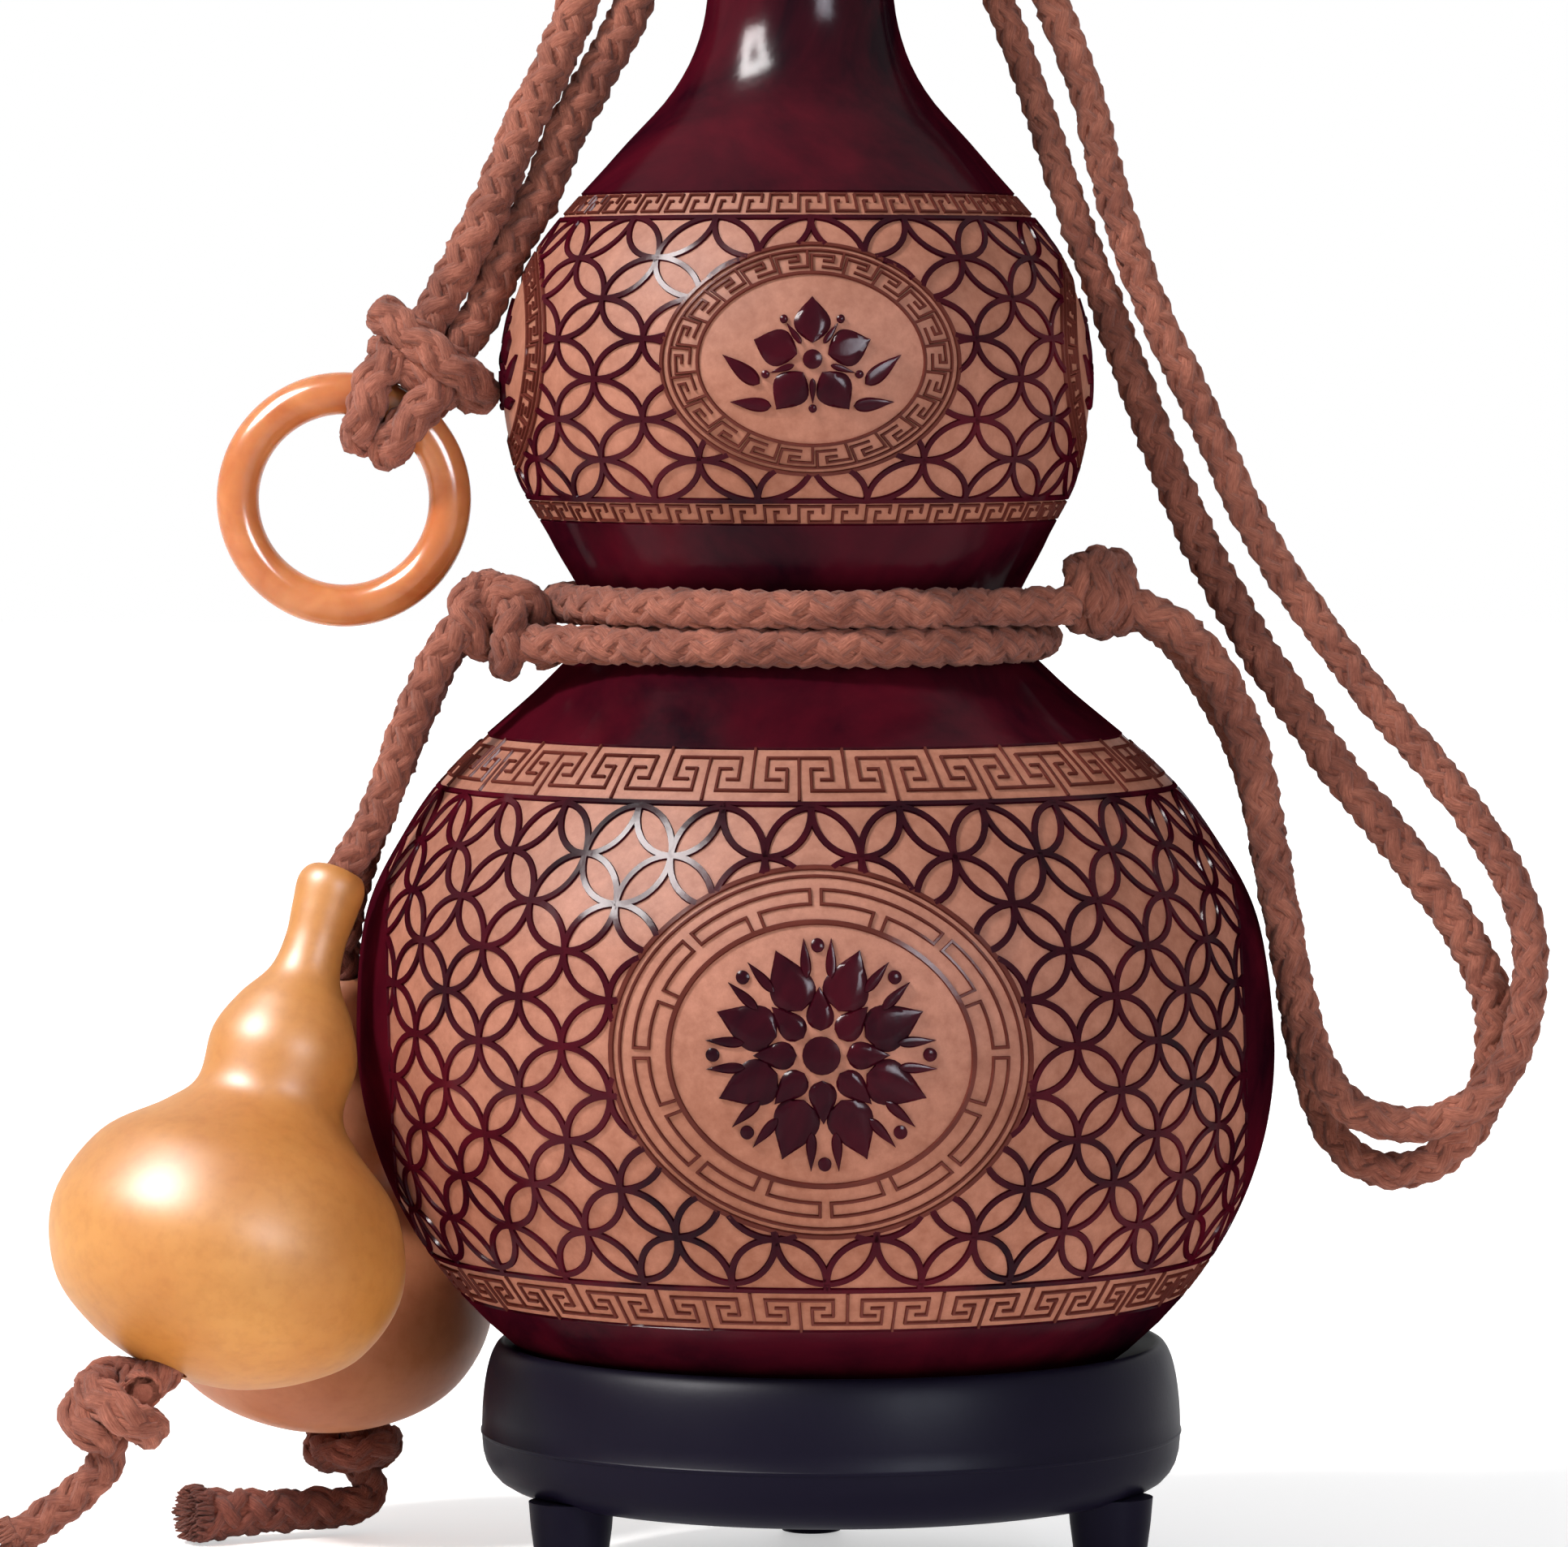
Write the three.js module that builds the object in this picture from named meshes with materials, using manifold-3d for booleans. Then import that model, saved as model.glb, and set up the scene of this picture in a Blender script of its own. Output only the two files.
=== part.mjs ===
// A gourd bottle on its stand: a hollow double gourd with a stopper, a cord wound round its waist,
// a doubled carrying strap with a ring, and two small gourds hanging from the cord's ends.
// Millimetres, +Z up. The origin is on the floor under the middle of the lower bulb.
// The carved front faces -Y.

import * as THREE from "three";
import { mergeVertices } from "three/addons/utils/BufferGeometryUtils.js";
import Module from "manifold-3d";

const wasm = await Module();
wasm.setup();

// Clearances
const SEAT_GAP = 0.3;
const SLIP_GAP = 0.35;

// Stand
const STAND_X = 2.2;
const STAND_RADIUS = 49;
const STAND_UNDERSIDE = 11;
const STAND_FLOOR = 3;
const STAND_BULGE_HEIGHT = 21;
const STAND_TOP = 33.2;
const RIM_ROUND = 0.8;
const SEAT_INNER_RADIUS = 34;
const RECESS_RADIUS = 30;
const LEG_COUNT = 3;
const LEG_CIRCLE = 43;
const LEG_TOP_RADIUS = 6.4;
const LEG_FOOT_RADIUS = 4.4;
const LEG_BACK_ANGLE = THREE.MathUtils.degToRad(93.5);
const LEG_SEGMENTS = 12;
const SIDE_ROUND = 8;
const RECESS_ROUND = 1.5;

// Gourd shell, as heights above the floor and outside radii
const BELLY_HEIGHT = 75.5;
const BELLY_RADIUS = 64.2;
const BELLY_DROP = 57.8;
const BASE_HEIGHT = 19.5;
const BASE_RADIUS = 17;
const NAVEL_DEPTH = 1.2;
const SHOULDER_HEIGHT = 114;
const SHOULDER_RADIUS = 49.2;
const WAIST_HEIGHT = 134;
const WAIST_RADIUS = 29.6;
const CHEST_HEIGHT = 169.7;
const CHEST_RADIUS = 41.3;
const THROAT_HEIGHT = 198.5;
const THROAT_RADIUS = 25.7;
const NECK_HEIGHT = 216;
const NECK_RADIUS = 13.8;
const LIP_HEIGHT = 240;
const LIP_RADIUS = 12.2;
const BELLY_WALL = 4;
const NECK_WALL = 3.2;
const LIP_BORE = 8.8;
const BORE_DEPTH = 16;
const BORE_BLEND = 2;
const BELLY_START = 3;
const BELLY_STEPS = 6;

// Stations of its smooth outside from the belly up, [radius, height]
const GOURD_STATIONS = [
  [BELLY_RADIUS - 1, BELLY_HEIGHT - 10],
  [BELLY_RADIUS, BELLY_HEIGHT],
  [BELLY_RADIUS - 1.8, BELLY_HEIGHT + 17],
  [(BELLY_RADIUS + SHOULDER_RADIUS) / 2, (BELLY_HEIGHT + SHOULDER_HEIGHT) / 2 + 9.4],
  [SHOULDER_RADIUS, SHOULDER_HEIGHT],
  [WAIST_RADIUS + 6, WAIST_HEIGHT - 8],
  [WAIST_RADIUS, WAIST_HEIGHT],
  [WAIST_RADIUS + 4.8, WAIST_HEIGHT + 10.9],
  [CHEST_RADIUS - 1.8, CHEST_HEIGHT - 14.5],
  [CHEST_RADIUS, CHEST_HEIGHT],
  [CHEST_RADIUS - 4, CHEST_HEIGHT + 14.6],
  [THROAT_RADIUS, THROAT_HEIGHT],
  [(THROAT_RADIUS + NECK_RADIUS) / 2 - 2.1, (THROAT_HEIGHT + NECK_HEIGHT) / 2 + 0.4],
  [NECK_RADIUS, NECK_HEIGHT],
  [(NECK_RADIUS + LIP_RADIUS) / 2 - 0.4, (NECK_HEIGHT + LIP_HEIGHT) / 2 - 2],
  [LIP_RADIUS, LIP_HEIGHT],
];
const GOURD_DIVISIONS = 30;

// The gourd grew slightly bent: how far its middle lies off the belly's axis
const LEAN_AT_BASE = 1.6;
const LEAN_AT_WAIST = -2;
const LEAN_AT_CHEST = -2.7;
const LEAN_AT_NECK = -2.1;

// Mouth collar
const COLLAR_BOTTOM = LIP_HEIGHT - 13;
const COLLAR_WALL = 2;
const BEAD_RADIUS = 18.4;
const BEAD_HEIGHT = LIP_HEIGHT - 7;
const GROOVE_RADIUS = 13.8;
const GROOVE_HEIGHT = LIP_HEIGHT - 1;
const COLLAR_LIP_RADIUS = 15.4;
const COLLAR_TOP = LIP_HEIGHT + 8.5;
const MOUTH_BORE = 8.8;
const BEAD_EDGE = 0.8;
const GROOVE_SLOPE = 1.5;
const COLLAR_LIP_ROUND = 2;

// Stopper
const PLUG_SIDE_GAP = 0.4;
const PLUG_LENGTH = 25;
const PLUG_TIP_CHAMFER = 1;
const SEAL_COUNT = 2;
const SEAL_THICKNESS = 2;
const SEAL_PITCH = 9;
const SEAL_FIRST = 7;
const SEAL_OUTER_GAP = 0.15;
const SPIGOT_RADIUS = 4.2;
const SPIGOT_LENGTH = 6;
const CAP_RADIUS = 15.4;
const CAP_FLANGE = 3.4;
const CAP_EDGE = 1.6;
const CAP_SHOULDER = 5;
const CAP_NECK_RADIUS = 6.4;
const CAP_NECK_RISE = 9;
const KNOB_RADIUS = 9.6;
const KNOB_HALF_HEIGHT = 8.8;
const KNOB_RISE = 18.5;
const FINIAL_RADIUS = 2.6;
const FINIAL_RISE = 29.5;

// Cords
const CORD_DIAMETER = 5.2;
const CORD_SIDES = 8;
const CORD_STEP = 13;
const TAIL_STEPS = 5;
const PENDANT_STEPS = 22;
const HOLE_SIDES = 12;
const WOUND_DIAMETER = 4.6;
const WOUND_PITCH = 5.3;
const WOUND_SIDES = 6;
const WOUND_STEPS_A_TURN = 24;
const WOUND_LOW = 131.4;
const KNOT_RADIUS = 6.5;
const KNOT_LENGTH = 12.6;
const PENDANT_KNOT_LENGTH = 14.4;
const KNOT_SIDE_REACH = 5.9;
const KNOT_CORNER_REACH = 7.6;
const SIDE_KNOT_TURN = 16;
const STRAP_KNOT_RISE = 1.6;
const PENDANT_KNOT_RISE = 2.6;
const KNOT_CORE_SHARE = 0.5;
const KNOT_TAPER = 0.12;

// Ring
const RING_RADIUS = 14.6;
const RING_THICKNESS = 6.2;
const RING_CENTRE = [-65.6, -4.6, 151];
const RING_KNOT_ANGLE = 54;
const RING_KNOT_SPREAD = 12.5;
const RING_KNOT_CENTRE = [-53, -3.6, 169.9];
const RING_KNOT_HALVES = [7.2, 6.2, 7.6];
const RING_CLEARANCE = 0.45;

// Small gourds, each from its tip down to its foot, as [radius, share of the length]
const SMALL_WALL = 2;
const SMALL_SHARES = [
  [0, 0], [3.2, 0.006], [4.7, 0.035], [4.5, 0.09], [4.2, 0.15], [5, 0.215], [8.1, 0.28],
  [10.3, 0.354], [10.4, 0.45], [13.8, 0.508], [21.2, 0.597], [24.8, 0.737], [21.8, 0.868],
  [15.1, 0.945], [7, 0.99], [0, 1],
];
const SMALL_CAVITY_START = 0.21;
const SMALL_DIVISIONS = 26;
const CORD_HOLE_GAP = 0.35;

const PENDANTS = [
  {
    name: "front",
    pivot: [-50.9, -16.6, 131.4],
    route: [[-56.5, -16.8, 119.4], [-60.3, -16.8, 108.4], [-62.8, -17, 103.8]],
    tip: [-66, -17.5, 100.7],
    foot: [-85.6, -32.4, 31.3],
    bend: [[-80.5, -29.4, 50], [-84.4, -33.1, 40.6]],
    exit: [-88.2, -35.7, 33.7],
    lead: 2.2,
    knotAxis: [-0.82, -0.2, -0.54],
    knotRadius: 6.2,
    knotLength: 11.4,
    tail: [[-96.7, -38.4, 20.6], [-99.2, -39, 17.7], [-102.6, -39.4, 15], [-109, -39.8, 10.4]],
    tailDiameter: 5.2,
  },
  {
    name: "rear",
    pivot: [-51.3, -7.5, 129.8],
    route: [[-57.6, 0.6, 116], [-63.6, 8.2, 101.4], [-66.5, 13.6, 91]],
    tip: [-67.2, 17.2, 84],
    foot: [-72.7, 43, 18.2],
    bend: [[-70.4, 35.6, 36], [-68.6, 40.6, 25]],
    exit: [-67.2, 43.2, 17.8],
    lead: 1.4,
    knotAxis: [0.05, 0.15, -0.985],
    knotRadius: 6.6,
    knotLength: 7,
    tail: [[-64.6, 43.4, 5.6], [-65.6, 42.4, 4.4], [-69.6, 40.6, 3.4], [-76, 37.6, 3.3],
      [-83, 34, 3.3], [-89.4, 30.6, 3.3]],
    tailDiameter: 6.4,
  },
];

// Strap strands, from the strap knot down, round the loop, up behind the neck and down to the ring
const STRAP_OUTER = [
  [46.9, -14.6, 137], [49.8, -14.2, 135.6], [53.4, -12.2, 130.6], [57.4, -9.6, 123.5],
  [59.8, -8.4, 118], [61.9, -7.6, 109.8], [63.4, -7.8, 100.8], [65, -8.2, 91.8], [66.6, -9, 84],
  [68.2, -10, 77.4], [70.6, -12, 71.2], [74.4, -13, 66.9], [79, -14, 65], [84.4, -14, 64.8],
  [89.6, -14, 66.6], [94.4, -13, 70.6], [97.4, -12, 76.4], [98.9, -11, 83.2], [99, -10, 90],
  [97.3, -9, 96.6], [93.3, -8, 104], [86.6, -7, 113.2], [78.6, -6, 122.3], [71.6, -5, 131.4],
  [65.2, -4, 140.5], [59.9, -3, 149.6], [55.9, -2, 158.6], [51.7, -1, 167.6], [47.4, 0, 176.6],
  [43.8, 1, 186], [41, 2, 195], [37.6, 3.6, 208.4], [32.8, 5.4, 221], [29.2, 7.6, 231],
  [24.4, 10.4, 238],
];
const STRAP_INNER = [
  [46.6, -9, 137.6], [50, -8.2, 136.4], [54.6, -5, 131.2], [58.2, -1.5, 123.4],
  [60.6, 1.5, 116.5], [62.4, 3.4, 108.5], [64, 4.6, 100], [65.8, 5, 92], [67, 4.4, 84],
  [68, 3, 76], [69.4, 0.6, 69.6], [71.4, -1.6, 64], [74.6, -4, 59.6], [79, -6, 57.6],
  [83.6, -7, 57.9], [88, -7.4, 60.4], [91.6, -7, 64.6], [94, -6, 70.4], [94.8, -4.6, 76.8],
  [94.3, -3.6, 82], [92.2, -3, 87], [88.8, -2.4, 93.2], [81.4, -1, 103], [74, 0, 112],
  [68, 1, 120.8], [62, 2, 129.8], [56.8, 2.6, 139], [52.4, 3, 148], [48.6, 3.2, 157],
  [45.2, 3.6, 166], [41.8, 4, 175.2], [38.4, 4.6, 184.4], [35, 5.4, 194], [30.6, 6.6, 207.4],
  [25.6, 8, 221], [22, 9.6, 229.4], [17.8, 11.8, 235.4],
];
const OUTER_BEHIND_NECK = { radius: 23.4, height: 242.6 };
const INNER_BEHIND_NECK = { radius: 18, height: 239 };
const NECK_ANGLES = [38, 64, 90, 116, 142];
const NECK_SAG = 1.2;
const OUTER_LEFT = [
  [-26.6, 10.4, 238], [-29.8, 7.6, 231], [-32.9, 5.4, 221], [-36.4, 4, 212], [-40.9, 2.4, 203],
  [-44.4, -0.8, 194], [-48.4, -3.4, 185.4], [-52.2, -4, 178.4],
];
const INNER_LEFT = [
  [-21.4, 11.8, 235.4], [-23.4, 9.6, 229.4], [-25.2, 8, 221], [-29.6, 6, 212], [-34.6, 5, 203],
  [-38.2, 3, 194], [-42.6, -0.6, 185.8], [-47.1, -2.6, 175.9],
];

// Facets
const SHELL_SEGMENTS = 36;
const TURNED_SEGMENTS = 20;
const SMALL_SEGMENTS = 16;
const RING_SEGMENTS = 36;
const KNOT_SEGMENTS = 14;

// Materials: colour, roughness and metalness seen in the photograph
const LACQUER = new THREE.MeshStandardMaterial({ color: 0x4a1418, roughness: 0.18, metalness: 0 });
const BLACK_PLASTIC = new THREE.MeshStandardMaterial({ color: 0x17171c, roughness: 0.45, metalness: 0 });
const DARK_WOOD = new THREE.MeshStandardMaterial({ color: 0x32150f, roughness: 0.3, metalness: 0 });
const CORK = new THREE.MeshStandardMaterial({ color: 0xb08559, roughness: 0.85, metalness: 0 });
const SILICONE = new THREE.MeshStandardMaterial({ color: 0xd8d4cc, roughness: 0.5, metalness: 0 });
const COTTON = new THREE.MeshStandardMaterial({ color: 0x8a5035, roughness: 0.9, metalness: 0 });
const AMBER_RESIN = new THREE.MeshStandardMaterial({ color: 0xc8692c, roughness: 0.25, metalness: 0 });
const GOURD_SKIN = new THREE.MeshStandardMaterial({ color: 0xd09040, roughness: 0.4, metalness: 0 });

const radians = THREE.MathUtils.degToRad;
const vector = (point) => new THREE.Vector3(...point);

// Sign of the volume that a closed geometry encloses, to see which way its faces point
function signedVolume(geometry) {
  const position = geometry.attributes.position;
  const index = geometry.index.array;
  let volume = 0;
  const corners = [new THREE.Vector3(), new THREE.Vector3(), new THREE.Vector3()];
  for (let i = 0; i < index.length; i += 3) {
    corners.forEach((corner, k) => corner.fromBufferAttribute(position, index[i + k]));
    volume += corners[0].dot(corners[1].clone().cross(corners[2])) / 6;
  }
  return volume;
}

// One closed body with shared vertices, without flat triangles, faces outward
function closed(geometry) {
  const bare = geometry.clone();
  bare.deleteAttribute("normal");
  bare.deleteAttribute("uv");
  const merged = mergeVertices(bare, 1e-4);
  const old = merged.index.array;
  const kept = [];
  for (let i = 0; i < old.length; i += 3) {
    const [a, b, c] = [old[i], old[i + 1], old[i + 2]];
    if (a !== b && b !== c && a !== c) {
      kept.push(a, b, c);
    }
  }
  merged.setIndex(kept);
  if (signedVolume(merged) < 0) {
    for (let i = 0; i < kept.length; i += 3) {
      [kept[i + 1], kept[i + 2]] = [kept[i + 2], kept[i + 1]];
    }
    merged.setIndex(kept);
  }
  return merged;
}

function solid(geometry) {
  const body = closed(geometry);
  return new wasm.Manifold(new wasm.Mesh({
    numProp: 3,
    vertProperties: new Float32Array(body.attributes.position.array),
    triVerts: new Uint32Array(body.index.array),
  }));
}

function fromSolid(manifold) {
  const mesh = manifold.getMesh();
  const geometry = new THREE.BufferGeometry();
  geometry.setAttribute("position", new THREE.BufferAttribute(mesh.vertProperties, 3));
  geometry.setIndex(new THREE.BufferAttribute(mesh.triVerts, 1));
  return geometry;
}

// Turned shape about +Z from [radius, height] points
function turned(points, segments) {
  const outline = points.map(([radius, height]) => new THREE.Vector2(radius, height));
  return closed(new THREE.LatheGeometry(outline, segments).rotateX(Math.PI / 2));
}

// Points [radius, height] on a smooth curve through a few stations
function smoothOutline(stations, divisions) {
  const curve = new THREE.SplineCurve(stations.map(([r, z]) => new THREE.Vector2(r, z)));
  return curve.getPoints(divisions).map((point) => [Math.max(point.x, 0), point.y]);
}

// Quarter-ellipse and arc stretches of an outline, [radius, height]
function arcOutline(centre, halves, from, to, steps) {
  const points = [];
  for (let i = 0; i <= steps; i += 1) {
    const angle = radians(from + ((to - from) * i) / steps);
    points.push([centre[0] + halves[0] * Math.cos(angle), centre[1] + halves[1] * Math.sin(angle)]);
  }
  return points;
}

// Round cord through points, its ends flat and square
function cordAlong(points, diameter = CORD_DIAMETER, sides = CORD_SIDES, steps = 0) {
  const path = new THREE.CatmullRomCurve3(points.map(vector), false, "centripetal");
  const section = new THREE.Shape();
  for (let i = 0; i < sides; i += 1) {
    const angle = (2 * Math.PI * i) / sides;
    const x = (Math.cos(angle) * diameter) / 2;
    const y = (Math.sin(angle) * diameter) / 2;
    if (i === 0) {
      section.moveTo(x, y);
    } else {
      section.lineTo(x, y);
    }
  }
  const count = steps || Math.max(2, Math.round(path.getLength() / CORD_STEP));
  return closed(new THREE.ExtrudeGeometry(section, {
    steps: count,
    extrudePath: path,
    bevelEnabled: false,
  }));
}

// Turns a geometry's +Z to a direction and moves it to a place
function aimed(geometry, direction, place) {
  const turn = new THREE.Quaternion();
  turn.setFromUnitVectors(new THREE.Vector3(0, 0, 1), vector(direction).normalize());
  return geometry.clone().applyQuaternion(turn).translate(...place);
}

function mesh(name, geometry, material) {
  const part = new THREE.Mesh(geometry, material);
  part.name = name;
  return part;
}

// How far the gourd's middle lies off the belly's axis at a height
const LEAN_CURVE = new THREE.SplineCurve([
  new THREE.Vector2(LEAN_AT_BASE, BASE_HEIGHT),
  new THREE.Vector2(0, BELLY_HEIGHT),
  new THREE.Vector2(LEAN_AT_WAIST, WAIST_HEIGHT),
  new THREE.Vector2(LEAN_AT_CHEST, CHEST_HEIGHT),
  new THREE.Vector2(LEAN_AT_NECK, NECK_HEIGHT),
]).getPoints(80);

function leanAt(height) {
  if (height <= BASE_HEIGHT) {
    return LEAN_AT_BASE;
  }
  if (height >= NECK_HEIGHT) {
    return LEAN_AT_NECK;
  }
  const above = LEAN_CURVE.findIndex((point) => point.y >= height);
  const [low, high] = [LEAN_CURVE[above - 1], LEAN_CURVE[above]];
  return THREE.MathUtils.mapLinear(height, low.y, high.y, low.x, high.x);
}

function leaned(geometry) {
  const bent = geometry.clone();
  const position = bent.attributes.position;
  for (let i = 0; i < position.count; i += 1) {
    position.setX(i, position.getX(i) + leanAt(position.getZ(i)));
  }
  return bent;
}

// Outside of the gourd: the round belly below, then a smooth curve over shoulder, waist and chest
function bellyRadius(height) {
  const drop = (BELLY_HEIGHT - height) / BELLY_DROP;
  return BELLY_RADIUS * Math.sqrt(Math.max(1 - drop * drop, 0));
}

function gourdOutside() {
  const belly = [];
  const start = Math.asin((BELLY_HEIGHT - BASE_HEIGHT - BELLY_START) / BELLY_DROP);
  for (let i = 0; i < BELLY_STEPS; i += 1) {
    const height = BELLY_HEIGHT - BELLY_DROP * Math.sin(start * (1 - i / BELLY_STEPS));
    belly.push([bellyRadius(height), height]);
  }
  const base = [[0, BASE_HEIGHT + NAVEL_DEPTH], [BASE_RADIUS / 3, BASE_HEIGHT + NAVEL_DEPTH / 2],
    [BASE_RADIUS, BASE_HEIGHT]];
  const upper = smoothOutline(GOURD_STATIONS, GOURD_DIVISIONS)
    .filter(([, height]) => height >= BELLY_HEIGHT - 0.01);
  return [...base, ...belly, ...upper];
}

// Inside of the gourd: the outside moved in by the wall, thicker at the belly than at the neck
function gourdInside(outside) {
  const boreTop = [LIP_BORE, LIP_HEIGHT];
  const boreEnd = [LIP_BORE, LIP_HEIGHT - BORE_DEPTH];
  const inner = [];
  for (let i = 2; i < outside.length - 1; i += 2) {
    const [before, here, after] = [outside[i - 1], outside[i], outside[i + 1]];
    const along = new THREE.Vector2(after[0] - before[0], after[1] - before[1]).normalize();
    const share = THREE.MathUtils.smoothstep(here[1], CHEST_HEIGHT, NECK_HEIGHT);
    const wall = THREE.MathUtils.lerp(BELLY_WALL, NECK_WALL, share);
    const point = [here[0] - along.y * wall, here[1] + along.x * wall];
    if (here[1] < boreEnd[1] - BORE_BLEND) {
      inner.push([Math.max(point[0], 0), point[1]]);
    }
  }
  const floor = [0, BASE_HEIGHT + NAVEL_DEPTH + BELLY_WALL];
  return [floor, ...inner.filter(([radius]) => radius > 1), boreEnd, boreTop];
}

const OUTSIDE = gourdOutside();

function outsideRadius(height) {
  for (let i = 4; i < OUTSIDE.length; i += 1) {
    const [low, high] = [OUTSIDE[i - 1], OUTSIDE[i]];
    if (height >= low[1] && height <= high[1]) {
      return THREE.MathUtils.mapLinear(height, low[1], high[1], low[0], high[0]);
    }
  }
  return OUTSIDE[OUTSIDE.length - 1][0];
}

function gourdShell() {
  const outline = [...OUTSIDE, ...gourdInside(OUTSIDE).reverse()];
  return mesh("gourd_shell", leaned(turned(outline, SHELL_SEGMENTS)), LACQUER);
}

// Moulded seat: a ring that the belly rests on, a recess under it, and three tapered legs
function stand() {
  const seat = [];
  const seatSteps = 4;
  const clear = Math.abs(leanAt(STAND_TOP) - STAND_X) + SEAT_GAP;
  const lowest = BELLY_HEIGHT - BELLY_DROP * Math.sqrt(1 - (SEAT_INNER_RADIUS / BELLY_RADIUS) ** 2);
  for (let i = 0; i <= seatSteps; i += 1) {
    const height = THREE.MathUtils.lerp(lowest, STAND_TOP - RIM_ROUND, i / seatSteps);
    seat.push([bellyRadius(height) + clear, height]);
  }
  const crest = bellyRadius(STAND_TOP) + clear + RIM_ROUND;
  const recessFloor = STAND_UNDERSIDE + STAND_FLOOR;
  const outline = [
    [0, STAND_UNDERSIDE],
    [STAND_RADIUS - SIDE_ROUND, STAND_UNDERSIDE],
    ...arcOutline([STAND_RADIUS - SIDE_ROUND, STAND_BULGE_HEIGHT],
      [SIDE_ROUND, STAND_BULGE_HEIGHT - STAND_UNDERSIDE], -62, 0, 4),
    ...arcOutline([crest, STAND_BULGE_HEIGHT], [STAND_RADIUS - crest, STAND_TOP - STAND_BULGE_HEIGHT],
      18, 90, 5),
    ...seat.reverse(),
    [RECESS_RADIUS, recessFloor + RECESS_ROUND],
    [RECESS_RADIUS - RECESS_ROUND, recessFloor],
    [0, recessFloor],
  ];
  let body = solid(turned(outline, SHELL_SEGMENTS));
  for (let i = 0; i < LEG_COUNT; i += 1) {
    const angle = LEG_BACK_ANGLE + (2 * Math.PI * i) / LEG_COUNT;
    const height = STAND_UNDERSIDE + STAND_FLOOR / 2;
    const leg = new THREE.CylinderGeometry(LEG_TOP_RADIUS, LEG_FOOT_RADIUS, height, LEG_SEGMENTS);
    leg.rotateX(Math.PI / 2).rotateZ(angle);
    leg.translate(LEG_CIRCLE * Math.cos(angle), LEG_CIRCLE * Math.sin(angle), height / 2);
    body = body.add(solid(leg));
  }
  const part = mesh("stand", closed(fromSolid(body)), BLACK_PLASTIC);
  part.position.x = STAND_X;
  return part;
}

// Turned collar glued over the cut neck, with a groove that the strap lies in at the back
function mouthCollar() {
  const sleeve = outsideRadius(COLLAR_BOTTOM) + SLIP_GAP;
  const step = LIP_HEIGHT + SEAT_GAP;
  const outline = [
    [MOUTH_BORE, COLLAR_TOP],
    [MOUTH_BORE, step],
    [sleeve, step],
    [sleeve, COLLAR_BOTTOM],
    [sleeve + COLLAR_WALL, COLLAR_BOTTOM],
    ...arcOutline([sleeve + COLLAR_WALL, BEAD_HEIGHT],
      [BEAD_RADIUS - sleeve - COLLAR_WALL, BEAD_HEIGHT - COLLAR_BOTTOM - 1], -80, 0, 4),
    [BEAD_RADIUS - BEAD_EDGE, BEAD_HEIGHT + BEAD_EDGE * 2],
    [GROOVE_RADIUS + BEAD_EDGE, GROOVE_HEIGHT - GROOVE_SLOPE * 2],
    [GROOVE_RADIUS, GROOVE_HEIGHT - GROOVE_SLOPE],
    [GROOVE_RADIUS, GROOVE_HEIGHT + GROOVE_SLOPE],
    ...arcOutline([COLLAR_LIP_RADIUS - COLLAR_LIP_ROUND, COLLAR_TOP - COLLAR_LIP_ROUND],
      [COLLAR_LIP_ROUND, COLLAR_LIP_ROUND], -60, 90, 5),
  ];
  outline.push(outline[0]);
  const part = mesh("mouth_collar", turned(outline, TURNED_SEGMENTS), DARK_WOOD);
  part.position.x = LEAN_AT_NECK;
  return part;
}

// Stopper: cork plug with two soft seals, and a turned cap pressed on its spigot
const PLUG_RADIUS = MOUTH_BORE - PLUG_SIDE_GAP;
const PLUG_TOP = COLLAR_TOP;
const SEAL_GROOVE_RADIUS = MOUTH_BORE - SEAL_OUTER_GAP - SEAL_THICKNESS;
const SEAL_HEIGHTS = Array.from({ length: SEAL_COUNT }, (_, i) => (
  PLUG_TOP - SEAL_FIRST - i * SEAL_PITCH
));

function stopperPlug() {
  const bottom = PLUG_TOP - PLUG_LENGTH;
  const outline = [[0, bottom], [PLUG_RADIUS - PLUG_TIP_CHAMFER, bottom],
    [PLUG_RADIUS, bottom + PLUG_TIP_CHAMFER]];
  [...SEAL_HEIGHTS].reverse().forEach((height) => {
    const half = SEAL_THICKNESS / 2 + SEAT_GAP;
    outline.push([PLUG_RADIUS, height - half]);
    outline.push([SEAL_GROOVE_RADIUS - SEAT_GAP, height - half]);
    outline.push([SEAL_GROOVE_RADIUS - SEAT_GAP, height + half]);
    outline.push([PLUG_RADIUS, height + half]);
  });
  outline.push([PLUG_RADIUS, PLUG_TOP]);
  outline.push([SPIGOT_RADIUS, PLUG_TOP]);
  outline.push([SPIGOT_RADIUS, PLUG_TOP + SPIGOT_LENGTH]);
  outline.push([0, PLUG_TOP + SPIGOT_LENGTH]);
  return mesh("stopper_plug", turned(outline, TURNED_SEGMENTS), CORK);
}

function stopperSeal(height, name) {
  const tube = SEAL_THICKNESS / 2;
  const ring = new THREE.TorusGeometry(SEAL_GROOVE_RADIUS + tube, tube, 6, TURNED_SEGMENTS);
  const part = mesh(name, closed(ring), SILICONE);
  part.position.z = height;
  return part;
}

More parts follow.
